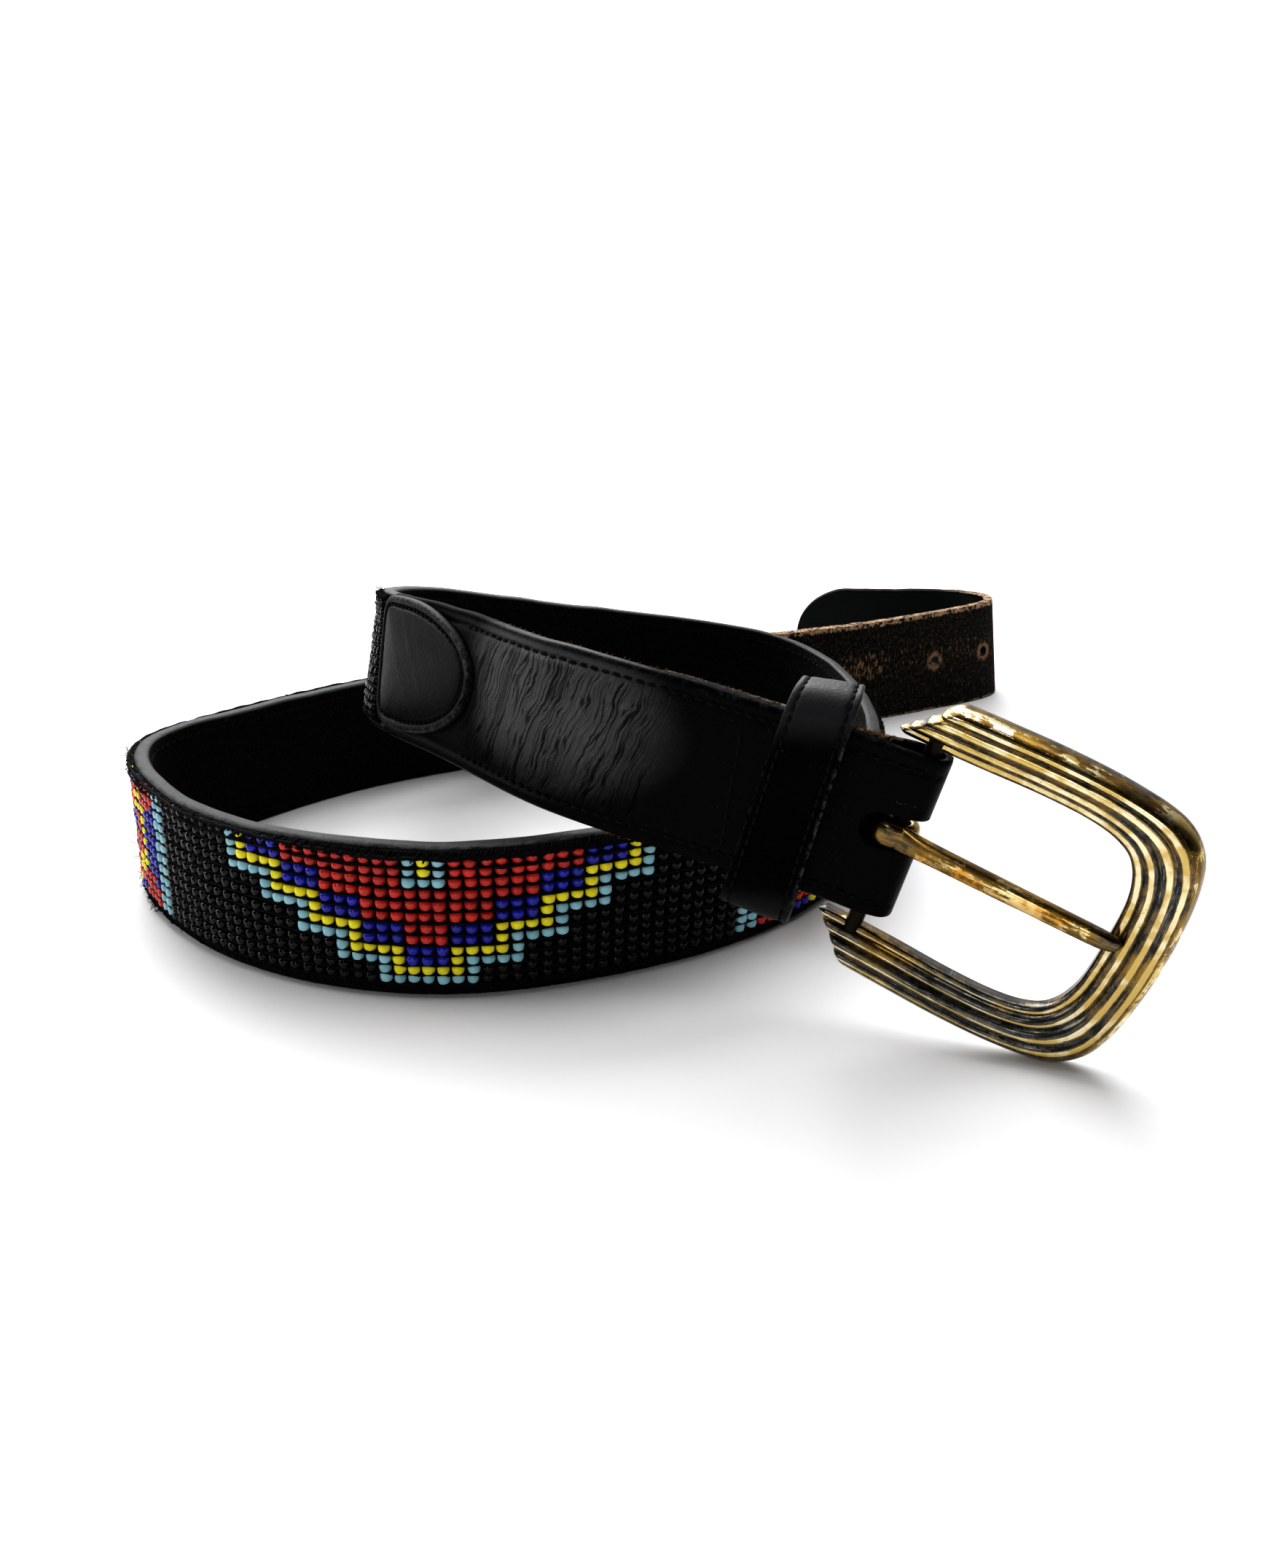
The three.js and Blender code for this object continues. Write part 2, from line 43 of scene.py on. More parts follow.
# ------------------------------------------------------------------ camera, floor and light
cam_data = bpy.data.cameras.new("camera")
cam = bpy.data.objects.new("camera", cam_data)
bpy.context.collection.objects.link(cam)
cam_data.sensor_width = 36.0
cam_data.lens = 1768.2 / 2151 * 36.0
cam_data.clip_start, cam_data.clip_end = 0.01, 50.0
PITCH, ROLL = math.radians(19.528), math.radians(-1.727)
cam.matrix_world = (Matrix.Translation(Vector((-3.775, -348.054, 132.37)) * MM)
                    @ Matrix.Rotation(math.pi / 2 - PITCH, 4, "X") @ Matrix.Rotation(ROLL, 4, "Z"))
bpy.context.scene.camera = cam
bpy.context.scene.view_settings.view_transform = "Standard"
bpy.context.scene.view_settings.look = "Medium High Contrast"

# ------------------------------------------------------------------ the strap's path, in millimetres
STRAP_WIDTH = 35.0
# x, y, z of the strap's bottom edge at mid thickness, and its outward lean in degrees
PATH = np.array([
    [41.8, -122.4, 26.3, 9.6], [25.1, -119.5, 30.2, 3.9], [-8.1, -105.0, 36.2, -6.6], [-29.5, -87.0, 38.7, -8.7],
    [-51.5, -55.9, 38.8, -11.2], [-72.3, -17.5, 35.4, -12.6], [-65.0, 19.3, 29.1, -10.4], [-29.3, 44.0, 18.4, -5.2],
    [12.1, 58.5, 8.7, 1.3], [42.2, 53.0, 2.3, 9.0], [51.1, 25.3, 0, 15.1], [51.6, -11.6, 0, 15.5],
    [47.1, -46.9, 0, 11.9], [31.0, -72.4, 0, 7.9], [8.4, -89.3, 0, 5.4], [-16.5, -99.4, 0, 4.5],
    [-41.8, -103.7, 0, 3.9], [-69.5, -98.5, 0, 0.7], [-97.6, -82.1, 0, -0.4], [-121.1, -54.7, 0, -2.4],
    [-130.2, -24.2, 0, -2.2], [-114.4, 3.2, 0, -6.1], [-84.6, 31.4, 0, -7.3], [-38.5, 53.3, 0, -6.8],
    [14.8, 69.2, 0, -5.1], [66.7, 81.7, 0, -2.3], [106.1, 98.8, 0, 1.9], [130.0, 115.0, 0, 5.3],
    [125.1, 133.7, 0, 3.8], [100.0, 140.9, 0, 3.6], [62.7, 148.3, 0, 2.8]])
ON_FLOOR = 10
BAR = np.array([44.605, -124.754, 40.96])
unit = lambda v: np.asarray(v, float) / np.linalg.norm(v)
BAR_A, BAR_B = unit([0.84403, -0.40358, -0.35318]), unit([0.31218, -0.16574, 0.93545])
BAR_C = np.cross(BAR_A, BAR_B)


def natural(values):
    n = len(values)
    m, c, d = np.zeros(n), np.zeros(n), np.zeros(n)
    for i in range(1, n - 1):
        p = 4 - c[i - 1]
        c[i] = 1 / p
        d[i] = (6 * (values[i + 1] - 2 * values[i] + values[i - 1]) - d[i - 1]) / p
    for i in range(n - 2, 0, -1):
        m[i] = d[i] - c[i] * m[i + 1]

    def at(u):
        u = np.asarray(u, float)
        i = np.clip(np.floor(u).astype(int), 0, n - 2)
        b = u - i
        a = 1 - b
        return a * values[i] + b * values[i + 1] + ((a ** 3 - a) * m[i] + (b ** 3 - b) * m[i + 1]) / 6
    return at


path_x, path_y, path_z, path_lean = [natural(PATH[:, k]) for k in range(4)]
LAST = len(PATH) - 1


def path_point(u):
    z = np.where(u >= ON_FLOOR, 0.0, np.maximum(0.0, path_z(u)))
    return np.stack([path_x(u), path_y(u), z], -1)


def frame_u(u):
    e = 0.01
    p = path_point(u)
    t = path_point(np.minimum(LAST, u + e)) - path_point(np.maximum(0, u - e))
    t /= np.linalg.norm(t, axis=-1, keepdims=True)
    w0 = np.array([0, 0, 1.0]) - t * t[..., 2:]
    w0 /= np.linalg.norm(w0, axis=-1, keepdims=True)
    n0 = np.cross(w0, t)
    lean = np.radians(path_lean(u))[..., None]
    w = w0 * np.cos(lean) + n0 * np.sin(lean)
    return p, t, w, np.cross(w, t)


_u = np.linspace(0, LAST, 3001)
_p, _t, _w, _n = frame_u(_u)
_mid = _p + _w * STRAP_WIDTH / 2
_s = np.concatenate([[0], np.cumsum(np.linalg.norm(np.diff(_mid, axis=0), axis=1))])
LENGTH = float(_s[-1])


def frame_s(s):
    """p on the bottom edge, t along, w up and n outward, at lengths s along the middle of the strap."""
    s = np.asarray(s, float)
    p, t, w, n = frame_u(np.interp(s, _s, _u))
    before = np.minimum(s, 0.0)[..., None]
    return p + t * before, t, w, n


def place(s, n, h, floor=0.0):
    """Points at lengths s, n outward and h up the strap; s, n and h broadcast."""
    s, n, h = np.broadcast_arrays(np.asarray(s, float), np.asarray(n, float), np.asarray(h, float))
    p, t, w, o = frame_s(s.ravel())
    x = p + o * n.ravel()[:, None] + w * h.ravel()[:, None]
    x[:, 2] = np.maximum(x[:, 2], floor)
    return x.reshape(s.shape + (3,))


def step(x, a, b):
    x = np.clip((np.asarray(x, float) - a) / (b - a), 0, 1)
    return x * x * (3 - 2 * x)


def lerp(a, b, x):
    return a + (b - a) * x


def noise1(x, seed, step_length):
    """Smooth random curve of x, from -1 to 1."""
    g = np.random.default_rng(seed).uniform(-1, 1, 4096)
    x = np.asarray(x, float) / step_length + 1000
    i = np.floor(x).astype(int)
    f = x - i
    f = f * f * (3 - 2 * f)
    return g[i % 4096] * (1 - f) + g[(i + 1) % 4096] * f


# ------------------------------------------------------------------ meshes
def new_mesh(name, verts, faces, smooth=True):
    me = bpy.data.meshes.new(name)
    me.from_pydata((np.asarray(verts) * MM).tolist(), [], [list(map(int, f)) for f in faces])
    me.validate()
    me.update()
    if smooth:
        me.polygons.foreach_set("use_smooth", np.ones(len(me.polygons), bool))
    ob = bpy.data.objects.new(name, me)
    bpy.context.collection.objects.link(ob)
    return ob


def tri_mesh(name, verts, tris, smooth=True):
    """A mesh straight from arrays of vertices and triangles or quads."""
    verts, tris = np.asarray(verts, np.float32) * MM, np.asarray(tris, np.int32)
    me = bpy.data.meshes.new(name)
    k = tris.shape[1]
    me.vertices.add(len(verts))
    me.vertices.foreach_set("co", verts.ravel())
    me.loops.add(tris.size)
    me.loops.foreach_set("vertex_index", tris.ravel())
    me.polygons.add(len(tris))
    me.polygons.foreach_set("loop_start", np.arange(0, tris.size, k, dtype=np.int32))
    me.polygons.foreach_set("loop_total", np.full(len(tris), k, np.int32))
    me.update(calc_edges=True)
    me.validate()
    me.polygons.foreach_set("use_smooth", np.full(len(me.polygons), smooth))
    ob = bpy.data.objects.new(name, me)
    bpy.context.collection.objects.link(ob)
    return ob


def attribute(ob, name, values):
    values = np.asarray(values, np.float32)
    kind = "FLOAT_VECTOR" if values.ndim == 2 else "FLOAT"
    a = ob.data.attributes.new(name, kind, "POINT")
    a.data.foreach_set("vector" if values.ndim == 2 else "value", values.ravel())


def points_of(ob):
    co = np.zeros(len(ob.data.vertices) * 3, np.float32)
    ob.data.vertices.foreach_get("co", co)
    return co.reshape(-1, 3).astype(float) / MM


def loft_faces(stations, count, closed_path=False):
    """Quads between rings; rings are anticlockwise seen against the direction of travel."""
    faces = []
    last = stations if closed_path else stations - 1
    for k in range(last):
        a = k * count
        b = ((k + 1) % stations) * count
        for i in range(count):
            j = (i + 1) % count
            faces.append((a + i, a + j, b + j, b + i))
    return faces


def loft(name, rings, closed_path=False, caps=True):
    rings = np.asarray(rings, float)
    m, c, _ = rings.shape
    faces = loft_faces(m, c, closed_path)
    if caps and not closed_path:
        faces.append(tuple(range(c - 1, -1, -1)))
        faces.append(tuple((m - 1) * c + i for i in range(c)))
    return new_mesh(name, rings.reshape(-1, 3), faces)


def tubes(name, lines, radius, sides=6, taper=0.0):
    """Many threads as one mesh. lines is a list of (points, radius or None)."""
    verts, quads = [], []
    base = 0
    ang = np.arange(sides) / sides * 2 * math.pi
    for pts, r in lines:
        pts = np.asarray(pts, float)
        r = radius if r is None else r
        m = len(pts)
        t = np.gradient(pts, axis=0)
        t /= np.linalg.norm(t, axis=1, keepdims=True) + 1e-12
        ref = np.array([0.0, 0, 1]) if abs(t[0, 2]) < 0.9 else np.array([1.0, 0, 0])
        a = ref - t * (t @ ref)[:, None]
        a /= np.linalg.norm(a, axis=1, keepdims=True) + 1e-12
        b = np.cross(t, a)
        x = np.linspace(0, 1, m)
        rr = r * (1 - taper * np.abs(2 * x - 1) ** 4)
        ring = pts[:, None] + (a[:, None] * np.cos(ang)[None, :, None] + b[:, None] * np.sin(ang)[None, :, None]) * rr[:, None, None]
        verts.append(ring.reshape(-1, 3))
        verts.append(np.stack([pts[0] - t[0] * r * 0.4, pts[-1] + t[-1] * r * 0.4]))
        i = np.arange(sides)
        j = (i + 1) % sides
        for k in range(m - 1):
            o = base + k * sides
            quads.append(np.stack([o + i, o + j, o + sides + j, o + sides + i], 1))
        first, last = base + m * sides, base + m * sides + 1
        e = base + (m - 1) * sides
        quads.append(np.stack([np.full(sides, first), base + j, base + i, np.full(sides, first)], 1)[:, [0, 1, 2, 2]])
        quads.append(np.stack([np.full(sides, last), e + i, e + j, e + j], 1))
        base += m * sides + 2
    verts, quads = np.concatenate(verts), np.concatenate(quads)
    tris = np.concatenate([quads[:, [0, 1, 2]], quads[:, [0, 2, 3]]])
    tris = tris[(tris[:, 0] != tris[:, 1]) & (tris[:, 1] != tris[:, 2]) & (tris[:, 0] != tris[:, 2])]
    return tri_mesh(name, verts, tris)


def cut(ob, cutter, operation="DIFFERENCE"):
    mod = ob.modifiers.new("cut", "BOOLEAN")
    mod.operation, mod.object, mod.solver = operation, cutter, "EXACT"
    dg = bpy.context.evaluated_depsgraph_get()
    me = bpy.data.meshes.new_from_object(ob.evaluated_get(dg))
    ob.modifiers.clear()
    old = ob.data
    ob.data = me
    bpy.data.meshes.remove(old)
    bpy.data.objects.remove(cutter, do_unlink=True)
    return ob


# ------------------------------------------------------------------ node graphs
class Graph:
    def __init__(self, name):
        self.mat = bpy.data.materials.new(name)
        self.mat.use_nodes = True
        self.nt = self.mat.node_tree
        self.nt.nodes.clear()
        self.out = self.nt.nodes.new("ShaderNodeOutputMaterial")
        self.shader = self.nt.nodes.new("ShaderNodeBsdfPrincipled")
        self.nt.links.new(self.shader.outputs[0], self.out.inputs[0])

    def put(self, socket, value):
        if isinstance(value, bpy.types.NodeSocket):
            self.nt.links.new(value, socket)
        elif value is not None:
            if socket.type == "RGBA" and not hasattr(value, "__len__"):
                value = (value, value, value, 1)
            elif socket.type == "RGBA" and len(value) == 3:
                value = (*value, 1)
            elif socket.type == "VECTOR" and not hasattr(value, "__len__"):
                value = (value, value, value)
            socket.default_value = value

    def set(self, **values):
        for k, v in values.items():
            self.put(self.shader.inputs[k.replace("_", " ")], v)
        return self

    def attr(self, name, output="Vector"):
        n = self.nt.nodes.new("ShaderNodeAttribute")
        n.attribute_name = name
        return n.outputs[output]

    def coords(self):
        return self.nt.nodes.new("ShaderNodeTexCoord").outputs["Object"]

    def split(self, v):
        n = self.nt.nodes.new("ShaderNodeSeparateXYZ")
        self.put(n.inputs[0], v)
        return n.outputs

    def join(self, x=0.0, y=0.0, z=0.0):
        n = self.nt.nodes.new("ShaderNodeCombineXYZ")
        for s, v in zip(n.inputs, (x, y, z)):
            self.put(s, v)
        return n.outputs[0]

    def m(self, op, a, b=0.0, c=0.0, clamp=False):
        n = self.nt.nodes.new("ShaderNodeMath")
        n.operation = op
        n.use_clamp = clamp
        for s, v in zip(n.inputs, (a, b, c)):
            self.put(s, v)
        return n.outputs[0]

    def add(self, a, b): return self.m("ADD", a, b)
    def sub(self, a, b): return self.m("SUBTRACT", a, b)
    def mul(self, a, b): return self.m("MULTIPLY", a, b)
    def both(self, a, b): return self.m("MULTIPLY", a, b, clamp=True)
    def either(self, a, b): return self.m("MAXIMUM", a, b)

    def scale(self, v, f):
        n = self.nt.nodes.new("ShaderNodeVectorMath")
        n.operation = "MULTIPLY"
        self.put(n.inputs[0], v)
        self.put(n.inputs[1], f)
        return n.outputs[0]

    def vadd(self, v, f):
        n = self.nt.nodes.new("ShaderNodeVectorMath")
        n.operation = "ADD"
        self.put(n.inputs[0], v)
        self.put(n.inputs[1], f)
        return n.outputs[0]

    def range(self, v, a, b, c=0.0, d=1.0, smooth=True):
        n = self.nt.nodes.new("ShaderNodeMapRange")
        n.interpolation_type = "SMOOTHSTEP" if smooth else "LINEAR"
        n.clamp = True
        for s, x in zip(n.inputs, (v, a, b, c, d)):
            self.put(s, x)
        return n.outputs[0]

    def band(self, v, a, b, soft):
        """1 between a and b."""
        return self.mul(self.range(v, a - soft, a + soft), self.range(v, b - soft, b + soft, 1.0, 0.0))

    def noise(self, v, scale=1.0, detail=3.0, rough=0.55, distortion=0.0):
        n = self.nt.nodes.new("ShaderNodeTexNoise")
        self.put(n.inputs["Vector"], v)
        n.inputs["Scale"].default_value = scale
        n.inputs["Detail"].default_value = detail
        n.inputs["Roughness"].default_value = rough
        n.inputs["Distortion"].default_value = distortion
        return n.outputs[0]

    def voronoi(self, v, scale=1.0, feature="F1", randomness=1.0):
        n = self.nt.nodes.new("ShaderNodeTexVoronoi")
        n.feature = feature
        self.put(n.inputs["Vector"], v)
        n.inputs["Scale"].default_value = scale
        n.inputs["Randomness"].default_value = randomness
        return n.outputs[0]

    def mix(self, f, a, b):
        n = self.nt.nodes.new("ShaderNodeMix")
        n.data_type = "RGBA"
        self.put(n.inputs[0], f)
        self.put(n.inputs[6], a)
        self.put(n.inputs[7], b)
        return n.outputs[2]

    def mixf(self, f, a, b):
        n = self.nt.nodes.new("ShaderNodeMix")
        n.data_type = "FLOAT"
        self.put(n.inputs[0], f)
        self.put(n.inputs[2], a)
        self.put(n.inputs[3], b)
        return n.outputs[0]

    def bump(self, height, strength=0.3, distance=0.2, normal=None):
        """distance is in millimetres."""
        n = self.nt.nodes.new("ShaderNodeBump")
        n.inputs["Strength"].default_value = strength
        n.inputs["Distance"].default_value = distance * MM
        self.put(n.inputs["Height"], height)
        if normal is not None:
            self.nt.links.new(normal, n.inputs["Normal"])
        return n.outputs[0]


def leather_grain():
    """Black grain leather: the strap's outer side and its rounded edges. belt holds s, h and n in millimetres."""
    g = Graph("leather_grain")
    belt = g.attr("belt")
    s, h, n = g.split(belt)[0:3]
    mm = g.scale(g.coords(), 1000.0)
    pores = g.voronoi(mm, 1.9)
    fine = g.noise(mm, 2.6, 4, 0.6)
    broad = g.noise(mm, 0.06, 3, 0.5)
    # creases run across the strap, slanting: long thin lines close together
    wander = g.mul(g.sub(g.noise(g.join(g.mul(s, 0.09), g.mul(h, 0.10), 0.0), 1.0, 2, 0.5), 0.5), 5.0)
    jitter = g.mul(g.sub(g.noise(belt, 0.8, 2, 0.5), 0.5), 0.55)
    along = g.add(g.add(g.add(s, g.mul(h, 0.36)), wander), jitter)
    one = g.noise(g.join(g.mul(along, 0.40), g.mul(h, 0.020), 0.0), 1.0, 1, 0.5)
    two = g.noise(g.join(g.mul(along, 0.72), g.mul(h, 0.040), 7.0), 1.0, 1, 0.5)
    three = g.noise(g.join(g.mul(along, 1.5), g.mul(h, 0.16), 3.0), 1.0, 2, 0.55)
    line1 = g.range(g.m("ABSOLUTE", g.sub(one, 0.5)), 0.0, 0.026, 1.0, 0.0)
    line2 = g.range(g.m("ABSOLUTE", g.sub(two, 0.5)), 0.0, 0.034, 1.0, 0.0)
    line3 = g.range(g.m("ABSOLUTE", g.sub(three, 0.5)), 0.0, 0.05, 1.0, 0.0)
    where = g.mul(g.band(s, 51, 104, 6), g.band(h, 4.2, 31.0, 1.2))
    faint = g.mul(g.band(s, 32, 51, 8), 0.10)
    worn = g.mul(g.add(where, faint), g.range(g.noise(belt, 0.11, 2, 0.5), 0.20, 0.36))
    deep = g.mul(g.either(line1, g.mul(line2, 0.85)), worn)
    light_lines = g.mul(line3, g.mul(worn, 0.5))
    plain = g.range(s, 104, 112, 1.0, 0.0)
    edge_top = g.range(h, 33.3, 34.5)
    # the flesh layer's edge shows as a thin tan line on top of the buckle strand
    lining = g.mul(g.mul(edge_top, g.range(n, -0.9, 0.1, 1.0, 0.0)), plain)
    tan = g.mul(lining, g.range(g.noise(mm, 0.8, 5, 0.75), 0.50, 0.58))
    rub = g.mul(g.mul(edge_top, g.range(g.noise(mm, 0.5, 5, 0.7), 0.48, 0.60)), plain)
    scratch = g.range(g.noise(g.join(g.mul(s, 0.8), g.mul(h, 0.16), 5.0), 1.0, 3, 0.6), 0.70, 0.735)
    # rubbed flecks beside the seams, and cross marks near the keeper
    near_seam = g.either(g.band(h, 29.8, 33.4, 0.7), g.band(h, 1.6, 5.2, 0.7))
    near_keeper = g.either(g.band(s, 30.5, 36, 2.0), g.band(s, 9, 14.5, 1.5))
    fleck = g.mul(g.mul(g.either(near_seam, near_keeper), plain), g.range(g.noise(mm, 1.0, 5, 0.8), 0.635, 0.67))
    black = g.mix(broad, (0.0009, 0.0010, 0.0011), (0.0022, 0.0023, 0.0026))
    black = g.mix(g.range(s, 980, 1005), black, (0.0085, 0.0105, 0.0100))
    # the top edge's rubbed patches are painted bluish grey: partly wear, partly a painted highlight along the edge
    black = g.mix(g.mul(rub, 0.30), black, (0.030, 0.033, 0.040))
    colour = g.mix(tan, black, (0.19, 0.125, 0.075))
    # the crease lines are painted darker still: painted shade in the creases
    colour = g.mix(g.mul(deep, 0.85), colour, (0.0004, 0.0004, 0.0004))
    colour = g.mix(g.mul(scratch, g.mul(plain, 0.22)), colour, (0.03, 0.03, 0.03))
    colour = g.mix(g.mul(fleck, 0.6), colour, (0.06, 0.058, 0.055))
    # polish where the strand has bent, fading out to all sides
    d_s = g.m("POWER", g.m("ABSOLUTE", g.mul(g.sub(s, 76.0), 1 / 31.0)), 2.0)
    d_h = g.m("POWER", g.m("ABSOLUTE", g.mul(g.sub(h, 22.0), 1 / 18.0)), 2.0)
    sheen = g.range(g.add(d_s, d_h), 0.0, 1.25, 1.0, 0.0)
    shiny = g.mul(sheen, g.range(broad, 0.3, 0.7, 0.75, 1.15))
    rough = g.add(0.40, g.mul(g.sub(fine, 0.5), 0.30))
    rough = g.add(rough, g.mul(g.sub(broad, 0.5), 0.15))
    rough = g.add(rough, g.mul(tan, 0.35))
    level = g.mul(g.add(0.035, g.mul(shiny, 0.68)), g.range(edge_top, 0.0, 1.0, 1.0, 0.12))
    level = g.mul(level, g.range(deep, 0.0, 0.8, 1.0, 0.16))
    height = g.add(g.mul(pores, 0.20), g.mul(fine, 0.28))
    height = g.sub(height, g.mul(deep, 1.0))
    height = g.sub(height, g.mul(light_lines, 0.5))
    height = g.add(height, g.mul(g.mul(two, worn), 0.35))
    return g.set(Base_Color=colour, Roughness=rough, Normal=g.bump(height, 0.9, 0.30), Specular_IOR_Level=level).mat


def leather_flesh():
    """Inner side: matte dark brown, nappy, rubbed tan in places and most of all round the tail's holes."""
    g = Graph("leather_flesh")
    belt = g.attr("belt")
    s, h, n = g.split(belt)[0:3]
    mm = g.scale(g.coords(), 1000.0)
    nap = g.noise(mm, 1.5, 6, 0.78)
    grit = g.noise(g.join(g.mul(s, 1.3), g.mul(h, 0.75), 0.0), 1.0, 5, 0.78)
    streak = g.noise(g.join(g.mul(s, 1.1), g.mul(h, 0.36), 4.0), 1.0, 5, 0.74)
    fleck = g.range(g.noise(g.join(g.mul(s, 1.25), g.mul(h, 0.8), 9.0), 1.0, 5, 0.78), 0.60, 0.64)
    tail = g.range(s, 835, 872)
    base = g.mix(g.range(grit, 0.46, 0.62), (0.0012, 0.0012, 0.0011), (0.0075, 0.0078, 0.0068))
    base = g.mix(tail, base, (0.0045, 0.0039, 0.0032))
    base = g.mix(g.mul(tail, g.range(grit, 0.50, 0.60)), base, (0.034, 0.029, 0.022))
    base = g.mix(g.mul(tail, g.range(streak, 0.47, 0.40)), base, (0.0014, 0.0012, 0.0010))
    # worn band in the middle, heavier in places, and a ring round each hole
    middle = g.band(h, 15, 24, 4)
    patch = g.mul(g.either(g.band(s, 908, 928, 7), g.mul(g.band(s, 928, 1000, 8), 0.45)), middle)
    tanned = g.mul(g.range(g.add(streak, g.mul(patch, 0.10)), 0.60, 0.66), g.mul(tail, g.add(0.30, g.mul(patch, 0.9))))
    rings = None
    for at in (949.2, 972.8, 996.4, 1020.0):
        d = g.m("POWER", g.add(g.m("POWER", g.sub(s, at), 2.0), g.m("POWER", g.sub(h, 17.5), 2.0)), 0.5)
        r = g.range(d, 2.6, 4.2, 1.0, 0.0)
        rings = r if rings is None else g.either(rings, r)
    ringed = g.mul(rings, g.range(g.noise(mm, 0.6, 4, 0.7), 0.40, 0.50))
    colour = g.mix(g.m("ADD", tanned, g.mul(ringed, 0.95), clamp=True), base, (0.21, 0.125, 0.068))
    colour = g.mix(g.mul(fleck, g.add(0.10, g.mul(tail, 0.60))), colour, (0.18, 0.115, 0.065))
    # scuffed brink of the inner side; on the tail the bevel is bare
    brink = g.add(g.range(h, 31.8, 34.2), g.range(h, 0.6, 2.6, 1.0, 0.0))
    scuff = g.mul(brink, g.range(g.noise(mm, 0.55, 5, 0.75), 0.60, 0.66))
    near = g.mul(tail, g.range(s, 992, 1008, 1.0, 0.0))
    ragged = g.range(g.noise(g.join(g.mul(s, 0.42), 0.0, 0.0), 1.0, 5, 0.72), 0.35, 0.65, -0.75, 0.35)
    bare = g.mul(g.range(g.add(h, ragged), 33.2, 33.6), near)
    bare = g.mul(bare, g.range(g.noise(g.join(g.mul(s, 0.42), g.mul(h, 0.3), 2.0), 1.0, 5, 0.75), 0.44, 0.51))
    low_bare = g.mul(g.mul(g.range(h, 1.0, 0.5), tail), g.range(g.noise(belt, 0.25, 4, 0.7), 0.45, 0.55))
    colour = g.mix(g.mul(scuff, g.add(0.16, g.mul(tail, 0.4))), colour, (0.20, 0.125, 0.07))
    pale = g.mix(g.range(nap, 0.35, 0.65), (0.17, 0.085, 0.04), (0.62, 0.43, 0.27))
    colour = g.mix(g.either(bare, g.mul(low_bare, 0.8)), colour, pale)
    return g.set(Base_Color=colour, Roughness=0.95, Normal=g.bump(g.add(nap, g.mul(streak, 0.8)), 0.9, 0.35),
                 Specular_IOR_Level=0.06).mat


def leather_lip():
    """The smooth rounded edge above and below the beads: worn charcoal grey, slightly polished; the grey of its top is
    partly painted overhead light.
    """
    g = Graph("leather_lip")
    belt = g.attr("belt")
    s, h, n = g.split(belt)[0:3]
    mm = g.scale(g.coords(), 1000.0)
    fine = g.noise(mm, 1.1, 5, 0.68)
    blot = g.noise(mm, 0.30, 4, 0.65)
    worn = g.noise(g.join(g.mul(s, 0.35), g.mul(n, 1.2), 0.0), 1.0, 5, 0.7)
    colour = g.mix(g.range(blot, 0.3, 0.7), (0.0065, 0.0075, 0.0070), (0.0150, 0.0170, 0.0160))
    left = g.range(s, 570, 660)
    colour = g.mix(g.mul(left, 0.8), colour, (0.0150, 0.0170, 0.0175))
    # a pale line along the outer corner's arris: rubbed wear and a painted highlight
    arris_wear_highlight = g.mul(g.mul(g.range(h, 33.9, 34.5), g.band(n, 1.0, 1.75, 0.15)), g.range(worn, 0.42, 0.55))
    colour = g.mix(g.mul(arris_wear_highlight, 0.55), colour, (0.075, 0.080, 0.080))
    chip = g.range(g.noise(mm, 0.8, 5, 0.75), 0.645, 0.68)
    colour = g.mix(g.mul(chip, 0.5), colour, (0.13, 0.085, 0.05))
    # the lower lip is painted near black: painted shade where it faces down
    colour = g.mix(g.range(h, 4.0, 1.5), colour, (0.0015, 0.0015, 0.0016))
    # the face beside the beads is painted dark as painted shade, below the painted light on the top
    colour = g.mix(g.mul(g.range(n, 1.45, 1.75), 0.85), colour, (0.0018, 0.0018, 0.0019))
    rough = g.add(0.52, g.mul(g.sub(fine, 0.5), 0.35))
    return g.set(Base_Color=colour, Roughness=rough, Normal=g.bump(g.add(fine, g.mul(worn, 0.8)), 0.6, 0.22),
                 Specular_IOR_Level=g.range(n, 1.45, 1.75, 0.13, 0.04)).mat


def leather_cut():
    """Raw cut edge of the tail: tan with dark finish left in patches, and all dark past the curl."""
    g = Graph("leather_cut")
    belt = g.attr("belt")
    s, h, n = g.split(belt)[0:3]
    mm = g.scale(g.coords(), 1000.0)
    fibre = g.noise(mm, 1.5, 6, 0.78)
    patches = g.range(g.noise(g.join(g.mul(s, 0.42), g.mul(n, 0.5), 2.0), 1.0, 5, 0.75), 0.44, 0.51)
    grit = g.range(g.noise(mm, 0.8, 5, 0.8), 0.38, 0.48)
    near = g.range(s, 992, 1008, 1.0, 0.05)
    bare = g.mul(g.mul(g.mul(patches, grit), g.range(h, 10, 30, 0.4, 1.0)), near)
    colour = g.mix(bare, (0.0035, 0.0033, 0.0033), g.mix(g.range(fibre, 0.35, 0.62), (0.17, 0.085, 0.04), (0.68, 0.48, 0.31)))
    return g.set(Base_Color=colour, Roughness=0.9, Normal=g.bump(fibre, 0.9, 0.4), Specular_IOR_Level=0.10).mat


